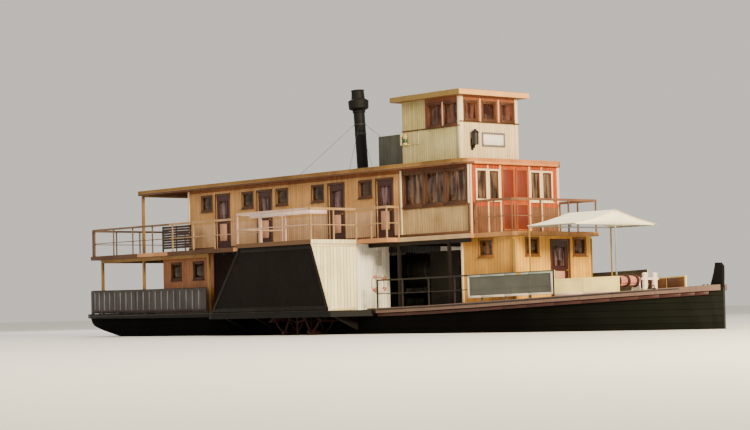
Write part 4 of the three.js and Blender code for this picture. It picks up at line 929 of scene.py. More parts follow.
# %% Canvas
THREADS = 260.0
SEAM_PITCH_MM, SEAM_MM, STAIN_MM = 600, 9, 700
canvas, tree, output = blank_material("cream_cotton_duck_canvas")
place = add(tree, "ShaderNodeTexCoord").outputs["Object"]
threads = [add(tree, "ShaderNodeTexWave", {"Vector": place, "Scale": THREADS}, wave_type="BANDS",
               bands_direction=axis).outputs["Fac"] for axis in ("X", "Y")]
weave = add(tree, "ShaderNodeMath", {0: threads[0], 1: threads[1]}, operation="MAXIMUM").outputs[0]
seams = joints(tree, "x", SEAM_PITCH_MM, SEAM_MM)
stains = add(tree, "ShaderNodeMapRange", {"Value": patches(tree, STAIN_MM), "From Min": 0.45, "From Max": 0.8,
                                          "To Max": 0.35})
stained = {0: stains.outputs[0], COLOUR_A: linear("fffbe0"), COLOUR_B: linear("ead9b0")}
tint = add(tree, "ShaderNodeMix", stained, **COLOURS).outputs[COLOUR_OUT]
tint = add(tree, "ShaderNodeMix", {0: seams, COLOUR_A: tint, COLOUR_B: linear("d8c8a0")},
           **COLOURS).outputs[COLOUR_OUT]
relief = add(tree, "ShaderNodeMath", {0: weave, 1: 0.15, 2: seams}, operation="MULTIPLY_ADD").outputs[0]
dent = add(tree, "ShaderNodeBump", {"Height": relief, "Distance": 0.003, "Strength": 0.5})
shader = add(tree, "ShaderNodeBsdfPrincipled", {"Base Color": tint, "Roughness": 0.9,
                                                "Normal": dent.outputs[0], "Sheen Weight": 0.15})
tree.links.new(shader.outputs[0], output.inputs["Surface"])
print("canvas:", len(tree.nodes), "nodes")

# %% [markdown]
# The sheet is given its thickness upwards, off the bars it rests on. A rope is sewn into its hem all the
# way round, and a flap closes the gable at its fore end.

# %% Awning
HEM_ROPE, GABLE_OUT = 0.009, 1.90
cloth_shape = cloth.reshape(-1, 3), cloth_quads.ravel(), np.full(len(cloth_quads), 4)
awning = piece("awning_canvas", [(cloth_shape, canvas)], crease=80)
thickness = awning.modifiers.new("canvas_thickness", "SOLIDIFY")
thickness.thickness = 0.003
thickness.offset = 1.0
edge_path = np.concatenate([cloth[:, 0], cloth[-1, 1:], cloth[-2::-1, -1], cloth[0, -2:0:-1]])
gable_y = np.linspace(-GABLE_OUT, GABLE_OUT, 33)
gable_top = awning_height(np.full(33, AWNING["fore"] - END_HOLD), gable_y) - 0.004
gable_foot = np.full(33, AWNING["eave"] - 0.02)
gable_inner, gable_outer = np.full(33, AWNING["fore"] - 0.038), np.full(33, AWNING["fore"] - 0.034)
gable_rings = np.stack([np.stack([x, gable_y, z], axis=1) for x, z in
                        ((gable_inner, gable_foot), (gable_inner, gable_top),
                         (gable_outer, gable_top), (gable_outer, gable_foot))], axis=1)
gable = piece("awning_gable", [(skinned(gable_rings), canvas)])
hem = piece("awning_hem", [(tube(edge_path + (0, 0, 0.003), HEM_ROPE, sides=8, closed=True), cream_trim)],
            crease=60)
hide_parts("awning")

# %% [markdown]
# The upper rails carry a pale board under the top rail over the paddle boxes, to lean on. The board is
# screwed to the outside of the posts. Beside the verandah, slatted screens fill the rails.

# %% Rails and boards on the upper deck
WING_OUT, WING_FORE = 4.84, 1.90
lean_boards = boxes([
    (-1.5, WING_FORE + 0.03, -WING_OUT - 0.044, -WING_OUT - 0.024, 5.06, 5.19),
    (WING_FORE + 0.024, WING_FORE + 0.044, -WING_OUT - 0.03, -WING_OUT + 0.70, 5.06, 5.19),
])
piece("wing_lean_boards", [(on_both_sides(lean_boards), pink_white)], bevel_mm=4)

SLAT_PITCH, SLAT_TALL = 0.10, 0.086
slat_z = 4.28 + SLAT_PITCH * np.arange(9)
screen = boxes([(-9.95, -8.05, -2.765, -2.745, z, z + SLAT_TALL) for z in slat_z]
               + [(x, x + 0.05, -2.745, -2.715, 4.172, 5.18) for x in (-9.95, -9.05, -8.10)])
piece("verandah_screen", [(on_both_sides(screen), dark_screen)], bevel_mm=3)
print("lean boards and the verandah's screens")

# %% [markdown]
# Structure that a boat shows from below: beams under the upper deck where it is open, and rafter ends under
# the hurricane deck along both eaves. They are sawn timber let into the fascia at even spaces.

# %% Beams and rafters
JOIST_BOTTOM, JOIST_TOP, JOIST_HALF = 3.93, 4.018, 0.03
RAFTER_BOTTOM, RAFTER_TOP, RAFTER_HALF, RAFTER_PITCH = 6.52, 6.588, 0.028, 0.62
open_joists = [*np.arange(-14.3, -11.1, 0.6), *np.arange(-7.0, -4.5, 0.6)]
fore_joists = [2.3, 2.9, 4.15, 4.75, 5.35]
joists = boxes([(x - JOIST_HALF, x + JOIST_HALF, -out, out, JOIST_BOTTOM, JOIST_TOP)
                for places, out in ((open_joists, 2.39), (fore_joists, 2.19)) for x in places])
rafter_x = np.arange(-8.8, 6.6, RAFTER_PITCH)
rafters = boxes([(x - RAFTER_HALF, x + RAFTER_HALF, -2.42, -2.17, RAFTER_BOTTOM, RAFTER_TOP) for x in rafter_x])
verandah_rafters = boxes([(x - RAFTER_HALF, x + RAFTER_HALF, -2.24, 2.24, RAFTER_BOTTOM, RAFTER_TOP)
                          for x in np.arange(-11.6, -9.1, RAFTER_PITCH)])
piece("deck_joists", [(joists, dark_screen)], bevel_mm=4)
piece("roof_rafters", [(merged(on_both_sides(rafters), verandah_rafters), brown_timber)],
      bevel_mm=4)
print("joists:", len(open_joists) + len(fore_joists), "rafters:", 2 * len(rafter_x))

# %% Fascia of the roof
FASCIA_Z, FASCIA_THICK, FASCIA_TALL = 6.57, 0.022, 0.11
EAVE_LINE = [(-12.05, 2.45), (6.50, 2.45), (6.97, 2.33), (7.20, 2.05)]  # x, distance out
eave = np.array([(x, 0.018 - out, FASCIA_Z) for x, out in EAVE_LINE])
fascia = bars(eave[:-1], eave[1:], FASCIA_THICK, FASCIA_TALL)
front_fascia = bars([(7.185, -2.05, FASCIA_Z)], [(7.185, 2.05, FASCIA_Z)], FASCIA_THICK, FASCIA_TALL)
# The fascia's sides are brown and its front salmon orange: painted shade on the sides and painted sunlight on
# the front.
orange_trim = coat("salmon_orange_fascia", "d0864a", "a05a30", 0.5, streaks=0.4, spread=0.3)
piece("roof_fascia", [(on_both_sides(fascia), brown_timber), (front_fascia, orange_trim)],
      bevel_mm=4)
print("fascia round the roof")

# %% [markdown]
# Corner posts, cover strips and rails planted on the houses. Matchboard is finished with a corner board
# where two walls meet, a belt moulding at sill height and a plinth at the deck.

# %% House trim
HOUSE_FOOT, PLINTH_TOP, HOUSE_HEAD = 4.172, 4.27, 6.50
DOOR_GAPS = ((-9.0, -7.22), (-6.25, -4.60), (-3.63, -0.39), (0.58, 2.25), (3.22, HOUSE_FRONT))


def strips(rows):
    """Upright and level strips on the house's starboard wall, from rows (x0, x1, z0, z1, proud)."""
    return boxes([(x0, x1, -HOUSE_WALL - proud, -HOUSE_WALL, z0, z1) for x0, x1, z0, z1, proud in rows])


plinth = strips([(x0, x1, HOUSE_FOOT, PLINTH_TOP, 0.016) for x0, x1 in DOOR_GAPS])
belt = strips([(3.75, HOUSE_FRONT, 5.13, 5.18, 0.03), (6.98, HOUSE_FRONT, PLINTH_TOP, 5.13, 0.03)])
pilasters = strips([(-9.0, -8.90, PLINTH_TOP, HOUSE_HEAD, 0.022), (3.58, 3.66, PLINTH_TOP, HOUSE_HEAD, 0.03),
                    (6.98, HOUSE_FRONT, 5.20, HOUSE_HEAD, 0.03)])
piece("house_plinth_and_belt", [(on_both_sides(merged(plinth, belt)), brown_timber)], bevel_mm=3)
piece("house_pilasters", [(on_both_sides(pilasters), cream_trim)], bevel_mm=3)
print("house trim planted")

# %% [markdown]
# The saloon's front has pale posts between its windows and two tall double panels in its middle, orange red
# with a deeper red inside their mouldings.

# %% Saloon front
#    y, width
FRONT_POSTS = [(-2.09, 0.08), (-1.29, 0.06), (-0.70, 0.07), (0.70, 0.07), (1.29, 0.06), (2.09, 0.08)]
FRONT_PANELS = [(y0, y1, z0, z1) for y0, y1 in ((-0.62, -0.04), (0.04, 0.62))
                for z0, z1 in ((4.28, 5.20), (5.30, 6.40))]
PANEL_FACE, MOULDING_FACE, MOULDING_WIDE = HOUSE_FRONT + 0.014, HOUSE_FRONT + 0.024, 0.05
front_posts = boxes([(HOUSE_FRONT, HOUSE_FRONT + 0.025, y - w / 2, y + w / 2, HOUSE_FOOT, HOUSE_HEAD)
                     for y, w in FRONT_POSTS])
front_panels = on_wall("x", [(*panel, HOUSE_FRONT, PANEL_FACE) for panel in FRONT_PANELS])
mouldings = [rim(shrunk(panel, MOULDING_WIDE), MOULDING_WIDE, PANEL_FACE, MOULDING_FACE)
             for panel in FRONT_PANELS]
front_rims = on_wall("x", sum(mouldings, []))
salmon_trim = coat("pale_salmon_trim", "e6bd98", "b07c58", 0.5, streaks=0.4, spread=0.3)
piece("saloon_front_posts", [(front_posts, salmon_trim)], bevel_mm=3)
piece("saloon_front_panels", [(front_panels, red_panel), (front_rims, orange_panel)],
      bevel_mm=2)
print("saloon front:", len(FRONT_POSTS), "posts,", len(FRONT_PANELS), "panels")

# %% [markdown]
# The wheelhouse and the forward cabin have boards at their corners. The wheelhouse also has mullions
# between its windows, a sill across its front and a belt along its sides.

# %% Wheelhouse and forward cabin trim
HELM_FOOT, HELM_HEAD = 6.72, 8.96
FORE_FOOT, FORE_HEAD = 1.87, 3.93
HELM_SIDES = (-HELM_WALL - 0.022, HELM_WALL)  # where strips 22 mm thick start on the two side walls
FORE_SIDES = (-FORE_WALL - 0.022, FORE_WALL)
helm_corners = boxes(
    [(HELM_FRONT, HELM_FRONT + 0.02, y, y + 0.14, HELM_FOOT, HELM_HEAD)
     for y in (-HELM_WALL, HELM_WALL - 0.14)]
    + [(5.76, HELM_FRONT, y, y + 0.02, HELM_FOOT, HELM_HEAD) for y in (-HELM_WALL - 0.02, HELM_WALL)])
helm_mullions = boxes(
    [(HELM_FRONT, HELM_FRONT + 0.025, y - 0.035, y + 0.035, 8.10, 8.90) for y in (-0.445, 0.445)]
    + [(4.975, 5.045, y, y + 0.022, 7.98, 8.82) for y in HELM_SIDES])
helm_bands = boxes([(HELM_FRONT, HELM_FRONT + 0.05, -1.42, 1.42, 8.06, 8.10)]
                   + [(2.90, HELM_FRONT, y, y + 0.022, 7.92, 7.965) for y in HELM_SIDES])
mullion_pink = coat("faded_salmon_mullions", "d9a283", "8a5a40", 0.45, streaks=0.4, spread=0.3)
piece("wheelhouse_trim", [
    (helm_corners, cream_trim), (helm_mullions, mullion_pink), (helm_bands, brown_timber),
], bevel_mm=3)

fore_corners = boxes(
    [(FORE_FRONT, FORE_FRONT + 0.022, y, y + 0.06, FORE_FOOT, FORE_HEAD)
     for y in (-FORE_WALL, FORE_WALL - 0.06)]
    + [(8.73, FORE_FRONT, y, y + 0.022, FORE_FOOT, FORE_HEAD) for y in FORE_SIDES])
fore_ends = boxes([(6.29, 6.39, y, y + 0.022, FORE_FOOT, FORE_HEAD) for y in FORE_SIDES])
olive_trim = coat("olive_brown_trim", "8f6c2c", "5a4420", 0.5, streaks=0.4, spread=0.3)
piece("forward_cabin_corners", [(fore_corners, olive_trim), (fore_ends, cream_trim)], bevel_mm=3)
print("wheelhouse and forward cabin trimmed")

# %% [markdown]
# Matchboard has a bead along one edge of every board, which hides the joint and throws a fine shadow line.
# The beads are real strips here, one beside each painted joint. They stop at the casings of windows and
# doors, so each wall's openings are looked up in the tables above.

# %% Beads and what they stop at
BEAD_WIDE, BEAD_PROUD, BEAD_SUNK, BEAD_BESIDE = 0.010, 0.004, 0.002, 0.012


def openings(wall):
    """The window and door holes (u0, u1, z0, z1) in a wall, with the casings round them."""
    windows = [(u0 - 0.07, u1 + 0.07, z0 - 0.095, z1 + 0.065)
               for _, its_wall, u0, u1, z0, z1, _ in WINDOWS if its_wall == wall]
    doors = [(u0 - 0.08, u1 + 0.08, floor_z, floor_z + tall + 0.075)
             for its_wall, u0, u1, floor_z, tall in DOORWAYS if its_wall == wall]
    return windows + doors


def beads(plane, outward, span, heights, pitch, holes):
    """Rows for on_wall: a bead beside each joint, broken at the holes. Joints lie where u + plane = n pitch."""
    rows = []
    for joint in range(math.ceil((span[0] + plane) / pitch), math.floor((span[1] + plane) / pitch) + 1):
        u = joint * pitch - plane + BEAD_BESIDE
        cuts = sorted((z0, z1) for u0, u1, z0, z1 in holes if u0 < u < u1)
        ends = [heights[0], *np.ravel(cuts).tolist(), heights[1]]
        rows += [(u - BEAD_WIDE / 2, u + BEAD_WIDE / 2, z0, z1, plane - outward * BEAD_SUNK,
                  plane + outward * BEAD_PROUD) for z0, z1 in zip(ends[::2], ends[1::2]) if z1 > z0 + 0.02]
    return rows


print("beads can be laid out")

# %% Beads on the matchboard
PLATE_AND_LAMP = [(-0.42, 0.76, 7.22, 7.76), (-0.94, -0.78, 7.08, 7.80)]
SHUTTERS = [(-2.42, -1.50, 3.20, 3.85), (1.50, 2.42, 3.20, 3.85)]
SIDELIGHT = [(2.98, 3.80, 7.43, 7.87)]
#    piece, paint, slot, walls, spans, (foot, head), pitch, more holes
BOARDED = [
    ("cabin_side", cabin_paint, "house_paint", ["house_side"], [(-8.88, 6.95)], (4.27, 6.50), 0.12, []),
    ("cabin_aft", cabin_paint, "house_paint", ["house_aft"], [(-2.08, 2.06)], (4.18, 6.50), 0.12, []),
    ("saloon_front", saloon_paint, "saloon_paint", ["house_front"], [(-2.04, -0.76), (0.74, 2.02)],
     (4.18, 6.50), 0.12, []),
    ("helm_side", helm_paint, "board_paint", ["helm_side"], [(2.94, 5.73)], (6.72, 8.94), 0.11, SIDELIGHT),
    ("helm_aft", helm_paint, "board_paint", ["helm_aft"], [(-1.37, 1.35)], (6.72, 8.94), 0.11, []),
    ("helm_front", white_front, "white_paint", ["helm_front"], [(-1.23, 1.21)], (6.72, 8.05), 0.12,
     PLATE_AND_LAMP),
    ("fore_side", ochre_paint, "ochre_paint", ["fore_side"], [(6.41, 8.70)], (1.93, 3.94), 0.15, []),
    ("fore_front", ochre_paint, "ochre_paint", ["fore_front"], [(-1.80, 1.78)], (1.93, 3.94), 0.15, []),
    ("aft_side", varnish, "varnished_wood", ["aft_side"], [(-10.96, -7.66)], (1.74, 3.94), 0.11, []),
    ("aft_end", varnish, "varnished_wood", ["aft_end"], [(-1.92, 1.90)], (1.74, 3.94), 0.11, []),
    ("engine_room", room_paint, "white_paint", ["engine_front", "engine_aft"], [(-2.76, -1.28), (1.26, 2.74)],
     (1.74, 3.90), 0.12, SHUTTERS),
]
bead_count = 0
for name, paint, slot, walls, spans, heights, pitch, more_holes in BOARDED:
    rows = []
    for wall in walls:
        axis, plane, outward = WALLS[wall]
        for side in (1, -1) if axis == "y" else (1,):
            for span in spans:
                rows += beads(side * plane, side * outward, span, heights, pitch, openings(wall) + more_holes)
    piece(f"{name}_beads", [(on_wall(axis, rows), paint)])
    bead_count += len(rows)
print("matchboard beads:", bead_count)

# %% [markdown]
# The paddle boxes' sides lean out from 4.10 m at the foot to 4.84 m at the head. So the beads on their
# fronts are cut to the slope: the further out a bead stands, the higher it starts.

# %% Beads on the paddle boxes' fronts
MAIN_DECK = 1.70
BOX_PITCH, BOX_FOOT_OUT, BOX_SPREAD, BOX_RISE = 0.15, 4.10, 0.74, 2.32
BOX_BEADS_OUT, BOX_BEAD_FOOT, BOX_BEAD_HEAD, ABOVE_EDGE = (2.92, 4.72), 1.83, 3.92, 0.16
box_rows = []
for side in (-1, 1):
    nearest, furthest = ((out + side * BOX_FRONT) / BOX_PITCH for out in BOX_BEADS_OUT)
    for joint in range(math.ceil(nearest), math.floor(furthest) + 1):
        out = joint * BOX_PITCH - side * BOX_FRONT + BEAD_BESIDE
        foot = max(BOX_BEAD_FOOT, MAIN_DECK + BOX_RISE * (out - BOX_FOOT_OUT) / BOX_SPREAD + ABOVE_EDGE)
        if foot < BOX_BEAD_HEAD - 0.07:
            box_rows.append((side * out - BEAD_WIDE / 2, side * out + BEAD_WIDE / 2, foot, BOX_BEAD_HEAD,
                             BOX_FRONT - BEAD_SUNK, BOX_FRONT + BEAD_PROUD))
piece("paddle_box_front_beads", [(on_wall("x", box_rows), box_paint)])
print("beads on the paddle boxes' fronts:", len(box_rows))

# %% [markdown]
# The hull's edge is drawn again here as a table of stations, because trim follows it: the distance from the
# centre line to the deck's edge, and the sheer, which lifts the edge by 0.49 m towards the bow with the
# power 1.5 of the distance, and by a little towards the stern with its square.

# %% The deck's edge
#    x, half width at the deck's edge
EDGE = np.array([
    (-15.925, 2.150), (-15.8, 2.400), (-15.4, 2.580), (-14.8, 2.680), (-13.5, 2.760), (-12.0, 2.800),
    (5.5, 2.800), (8.0, 2.740), (10.0, 2.540), (12.0, 2.120), (13.8, 1.480), (15.0, 0.850),
    (15.7, 0.360), (15.98, 0.070),
])
STATION_X = np.array([-15.925, -15.8, -15.4, -14.8, -13.5, -12.0, -10.5, -8.0, 2.0, 5.5, 8.0, 10.0, 12.0,
                      13.8, 15.0, 15.7, 15.98])
FORE_SHEER_FROM, FORE_SHEER_RUN, FORE_SHEER = 2.0, 14, 0.49
AFT_SHEER_FROM, AFT_SHEER_RUN, AFT_SHEER = -8.0, 8, 0.06
fore_run = np.maximum(STATION_X - FORE_SHEER_FROM, 0) / FORE_SHEER_RUN
aft_run = np.minimum(STATION_X - AFT_SHEER_FROM, 0) / AFT_SHEER_RUN
STATION_RISE = FORE_SHEER * fore_run ** 1.5 + AFT_SHEER * aft_run ** 2


def deck_edge_line(x, inset, above_deck):
    """Points by the starboard deck's edge at x: inset metres inboard and above_deck metres over the deck."""
    x = np.array(x, float)
    height = MAIN_DECK + np.interp(x, STATION_X, STATION_RISE) + above_deck
    return np.stack([x, inset - np.interp(x, EDGE[:, 0], EDGE[:, 1]), height], axis=1)


def along_edge(x, inset, above_deck, width, depth, sheer=1.0):
    """A batten along the deck's edge. The foredeck rail takes only part of the deck's sheer."""
    line = deck_edge_line(x, inset, above_deck)
    line[:, 2] -= (1 - sheer) * np.interp(line[:, 0], STATION_X, STATION_RISE)
    return bars(line[:-1], line[1:], width, depth)


print("deck's edge:", len(EDGE), "stations")

# %% [markdown]
# A rubbing strake in dark red runs below the gunwale along the fore half of the boat, with an iron rub on
# the gunwale's edge. The foredeck rail carries a sign board, which is bare here and has boards round it,
# and forward of it the bulwark has a timber lining inside and a rubbing board outside.

# %% Strakes, sign board and bulwark
RAIL_SHEER, RAIL_INSET, RAIL_FACE = 0.4, 0.11, 0.075
BOARD_AFT, BOARD_FORE, BOARD_END = 7.40, 10.90, 0.06
strake_x = [3.0, 4.5, 5.5, 6.7, 8.0, 9.0, 10.0, 11.0, 12.0, 12.9, 13.8, 14.4, 15.0, 15.35, 15.7]
board_x = [BOARD_AFT, 8.0, 9.0, 10.0, BOARD_FORE]
bulwark_x = [10.99, 12.0, 13.06]
strake_red = coat("dark_red_strake_paint", "3a1511", "a06050", 0.5, streaks=0.4)
frame_white = coat("greyed_white_sign_frame", "cfc4b8", "8a8078", 0.5, streaks=0.5, spread=0.5)
strake = along_edge(strake_x, -0.012, -0.21, 0.05, 0.10)
iron_rub = along_edge(strake_x, -0.078, -0.02, 0.012, 0.05)
board_top = along_edge(board_x, RAIL_FACE, 0.965, 0.03, 0.05, RAIL_SHEER)
board_foot = along_edge(board_x, RAIL_FACE, 0.29, 0.03, 0.07, RAIL_SHEER)
board_ends = [along_edge([x, x + BOARD_END], RAIL_FACE, 0.62, 0.03, 0.64, RAIL_SHEER)
              for x in (BOARD_AFT, BOARD_FORE - BOARD_END)]
lining = along_edge(bulwark_x, RAIL_INSET + 0.019, 0.42, 0.008, 0.52, RAIL_SHEER)
bulwark_board = along_edge(bulwark_x, 0.085, 0.22, 0.02, 0.10, RAIL_SHEER)
piece("rubbing_strake", [(on_both_sides(strake), strake_red), (on_both_sides(iron_rub), black_iron)],
      bevel_mm=4)
piece("sign_board_frame", [
    (on_both_sides(board_top), pole_grey), (on_both_sides(merged(board_foot, *board_ends)), frame_white),
], bevel_mm=3)
piece("bulwark_lining", [(on_both_sides(lining), brown_timber)], bevel_mm=2)
piece("bulwark_rubbing_board", [(on_both_sides(bulwark_board), pink_white)], bevel_mm=3)
print("strakes, sign boards and bulwark")

# %% [markdown]
# The rail round the stern is weatherboard with a dark cap and foot, and pale battens upright over its
# joints.

# %% Stern rail
BATTEN_PITCH, BATTEN_HALF, BATTEN_INSET = 0.42, 0.03, 0.088
batten_grey = coat("faded_lilac_grey_battens", "7c7a85", "5c5a66", 0.6, streaks=0.6, spread=0.6)
stern_x = [-15.4, -14.8, -13.5, -12.0, -10.5, -8.0, -7.2]
stern_cap = along_edge(stern_x, RAIL_INSET, 1.005, 0.10, 0.03)
stern_foot = along_edge(stern_x, BATTEN_INSET, 0.14, 0.02, 0.10)
batten_x, batten_y, batten_z = deck_edge_line(np.arange(-15.2, -7.25, BATTEN_PITCH), BATTEN_INSET, 0.0).T
stern_battens = boxes(np.stack([batten_x - BATTEN_HALF, batten_x + BATTEN_HALF,
                                batten_y - 0.010, batten_y + 0.008, batten_z + 0.19, batten_z + 0.93], axis=1))
piece("stern_rail_cap", [(on_both_sides(merged(stern_cap, stern_foot)), dark_screen)],
      bevel_mm=4)
piece("stern_rail_battens", [(on_both_sides(stern_battens), batten_grey)], bevel_mm=3)
print("stern rail:", 2 * len(batten_x), "battens")

# %% [markdown]
# Paddle boxes have boards along every edge, and their aft edge slopes forward from -5.00 to -2.27 m. Their
# sides are plain boards, with a bead at each joint that stops at the sloping edge.

# %% Paddle box trim
BOX_AFT, BOX_AFT_SLOPE = -5.0, 2.73
EDGE_THICK, EDGE_OUT, LOW, HIGH = 0.024, 0.012, 0.02, 0.98


def on_box_side(x, share, proud=0.0):
    """Points on the starboard box side, share of the way from foot to head, proud metres outside it."""
    x, share = np.broadcast_arrays(np.array(x, float), share)
    return np.stack([x, -(BOX_FOOT_OUT + BOX_SPREAD * share) - proud, MAIN_DECK + BOX_RISE * share], axis=-1)


aft_low, aft_high = (BOX_AFT + BOX_AFT_SLOPE * share + 0.10 for share in (LOW, HIGH))
#    one end (x, share), other end, width, direction its width lies along
EDGE_BOARDS = [
    ((1.84, LOW), (1.84, HIGH), 0.10, (1, 0, 0)),  # fore
    ((aft_low, LOW), (aft_high, HIGH), 0.10, (1, 0, 0)),  # aft, along the slope
    ((-2.15, 0.955), (1.86, 0.955), 0.12, (0, 0, 1)),  # head
    ((-4.75, 0.05), (1.86, 0.05), 0.14, (0, 0, 1)),  # foot
]
edge_boards = [bars(on_box_side(*a, EDGE_OUT), on_box_side(*b, EDGE_OUT), EDGE_THICK, width, up=up)
               for a, b, width, up in EDGE_BOARDS]
box_dark = coat("black_paddle_box_boards", "15100d", "b0a090", 0.6, boards=("x", 620, 8), streaks=0.5,
                spread=0.4, gloss=0.2)
piece("paddle_box_edge_boards", [(on_both_sides(merged(*edge_boards)), box_dark)], bevel_mm=4)

bead_x = np.arange(-4.62, 1.76, BOX_PITCH)
bead_head = np.minimum(0.93, (bead_x - BOX_AFT - 0.17) / BOX_AFT_SLOPE)
long_enough = bead_head > 0.12
bead_x, bead_head = bead_x[long_enough], bead_head[long_enough]
side_beads = bars(on_box_side(bead_x, 0.08, 0.002), on_box_side(bead_x, bead_head, 0.002), 0.014, 0.007,
                  up=(0, 1, 0))
piece("paddle_box_side_beads", [(on_both_sides(side_beads), box_paint)])
print("paddle box sides:", 2 * len(EDGE_BOARDS), "edge boards,", 2 * len(bead_x), "beads")

# %% Boards on the paddle boxes' fronts, and shutters
FRONT_BOARD_X = 1.89
LOUVRE_PITCH, LOUVRE_TALL = 0.06, 0.03
front_edge = bars([(1.901, -BOX_FOOT_OUT - BOX_SPREAD * 0.03 + 0.05, 1.77)],
                  [(1.901, -BOX_FOOT_OUT - BOX_SPREAD * 0.97 + 0.05, 3.95)], 0.022, 0.09, up=(0, 1, 0))
front_boards = boxes([
    (FRONT_BOARD_X, 1.912, -2.86, -2.78, 1.71, 4.01),  # beside the engine room
    (FRONT_BOARD_X, 1.912, -4.76, -2.86, 3.92, 4.01),  # head
    (FRONT_BOARD_X, 1.912, -4.05, -2.86, 1.71, 1.82),  # foot
])
shutter = on_wall("x", [(-2.36, -1.57, 3.25, 3.80, 1.850, 1.872)])
louvres = boxes([(1.866, 1.884, -2.33, -1.60, z, z + LOUVRE_TALL)
                 for z in np.arange(3.29, 3.78, LOUVRE_PITCH)])
piece("paddle_box_front_boards", [(on_both_sides(merged(front_edge, front_boards)), cream_trim)],
      bevel_mm=3)
piece("engine_room_shutters", [(on_both_sides(merged(shutter, louvres)), zinc_white)],
      bevel_mm=2)
print("paddle box fronts and shutters trimmed")

# %% [markdown]
# Lifebuoys are rings of cork under painted canvas, 0.71 m across, white with four faded red bands. They
# hang under the deck by the engine room, facing forward. The bands are short pieces of a slightly fatter
# ring.

# %% Lifebuoys
BUOY_RING, BUOY_FAT, BAND_PROUD = 0.29, 0.065, 0.004
BUOY_PLACES = [(1.965, -1.80, 2.62), (1.965, 1.80, 2.62)]
BAND_STARTS, BAND_STEPS, RING_STEPS = (8, 32, 56, 80), 9, 96
FORWARD = (1, 0, 0)
faded_red = coat("sun_faded_red_bands", "cf8a70", "a06a58", 0.55, streaks=0.3, spread=0.3)
rings, bands = [], []
for centre in BUOY_PLACES:
    rings.append(tube(ring_path(centre, BUOY_RING, FORWARD, 48), BUOY_FAT, sides=14, closed=True, up=FORWARD))
    whole = ring_path(centre, BUOY_RING, FORWARD, RING_STEPS)
    bands += [tube(np.roll(whole, -start, axis=0)[:BAND_STEPS], BUOY_FAT + BAND_PROUD, sides=14, up=FORWARD)
              for start in BAND_STARTS]
piece("lifebuoys", [(merged(*rings), zinc_white), (merged(*bands), faded_red)], crease=50)
print("lifebuoys:", len(BUOY_PLACES))

# %% [markdown]
# The wheelhouse front has a black lamp on a bracket and a blank plate in a grey frame. A sidelight board
# stands on each side of the wheelhouse: a backboard painted like the wall, and a lamp with a coloured lens,
# red to port and green to starboard. The lenses are deep in colour, since unlit ones look nearly black by
# day.

# %% Lamp and plate on the wheelhouse front
FRONT_LAMP = [(0.123, 0.0), (0.123, 0.40), (0.145, 0.42), (0.08, 0.49), (0.05, 0.50), (0.05, 0.54)]
PLATE = (-0.32, 0.66, 7.31, 7.67)
frame_grey = coat("grey_plate_frame", "7a706e", "b0a49c", 0.5, streaks=0.3)
front_lamp = turned(FRONT_LAMP, (6.05, -0.86, 7.275))
bracket = boxes([
    (HELM_FRONT, 6.055, -0.887, -0.833, 7.257, 7.313),  # shelf
    (HELM_FRONT, 5.90, -0.92, -0.80, 7.10, 7.50),  # back
    (5.90, 6.02, -0.87, -0.85, 7.16, 7.257),  # strut
])
plate = on_wall("x", [(*PLATE, HELM_FRONT, HELM_FRONT + 0.012)])
plate_frame = on_wall("x", rim(PLATE, 0.07, HELM_FRONT, HELM_FRONT + 0.03))
piece("wheelhouse_front_lamp", [(front_lamp, black_iron), (bracket, black_iron)], crease=35)
piece("wheelhouse_blank_plate", [(plate_frame, frame_grey), (plate, zinc_white)], bevel_mm=2)
print("lamp and blank plate")

# %% Sidelights
LAMP_BODY = [(0.070, 0.0), (0.072, 0.24), (0.095, 0.26), (0.060, 0.33), (0.035, 0.35), (0.035, 0.38)]
LAMP_LENS = [(0.074, 0.06), (0.079, 0.08), (0.079, 0.18), (0.074, 0.20)]
for side, sign, colour in (("starboard", -1, "14432c"), ("port", 1, "5e1712")):
    y = sign * HELM_WALL
    lamp_foot = (3.16, y + sign * 0.11, 7.472)
    board = boxes([
        (2.999, 3.751, y, y + sign * 0.021, 7.449, 7.851),  # back
        (2.998, 3.041, y, y + sign * 0.202, 7.448, 7.852),  # screen aft of the lamp
        (2.999, 3.262, y, y + sign * 0.201, 7.448, 7.472),  # shelf
    ])
    lens_paint = coat(f"{side}_sidelight_lens", colour, "ffffff", 0.4, streaks=0.0, spread=0.2, sheen_coat=0.1)
    piece(f"{side}_sidelight", [
        (board, helm_paint), (turned(LAMP_BODY, lamp_foot, sides=16), helm_paint),
        (turned(LAMP_LENS, lamp_foot, sides=16), lens_paint),
    ], crease=35)
print("sidelights")

# %% [markdown]
# Ironwork on the funnel. It is rolled from plates that overlap under riveted hoops, and four iron stays run
# from an eye band below the crown to the hurricane deck, because a tall funnel on a boat that rolls needs
# them. The funnel leans aft by 4 degrees, so everything on it is placed by its distance along the funnel's
# own axis.

# %% Funnel
RAKE = math.radians(4)
FUNNEL_AXIS = np.array([-math.sin(RAKE), 0, math.cos(RAKE)])
FUNNEL_FOOT = np.array([-0.66, 0, 3.70])
HOOPS, EYE_BAND_AT = (0.55, 1.9, 3.25, 4.55), 4.9  # metres along the funnel's axis
HOOP = [(0.211, -0.03), (0.217, -0.03), (0.217, 0.03), (0.211, 0.03)]
RIVET = [(0.011, 0), (0.009, 0.005), (0.003, 0.008)]
RIVETS_OUT, RIVETS_ROUND = 0.2165, 20
EYE_BAND = [(0.211, -0.02), (0.224, -0.02), (0.224, 0.02), (0.211, 0.02)]
DECK_EYE = [(0.07, 0), (0.07, 0.012), (0.025, 0.02), (0.02, 0.05)]
STAY_FEET = [(x, y, 6.712) for x in (-2.35, 0.55) for y in (-1.9, 1.9)]
STAY_OUT, STAY_RADIUS = 0.15, 0.007
hoop_centres = [FUNNEL_FOOT + t * FUNNEL_AXIS for t in HOOPS]
hoops = [turned(HOOP, centre, FUNNEL_AXIS, 40) for centre in hoop_centres]
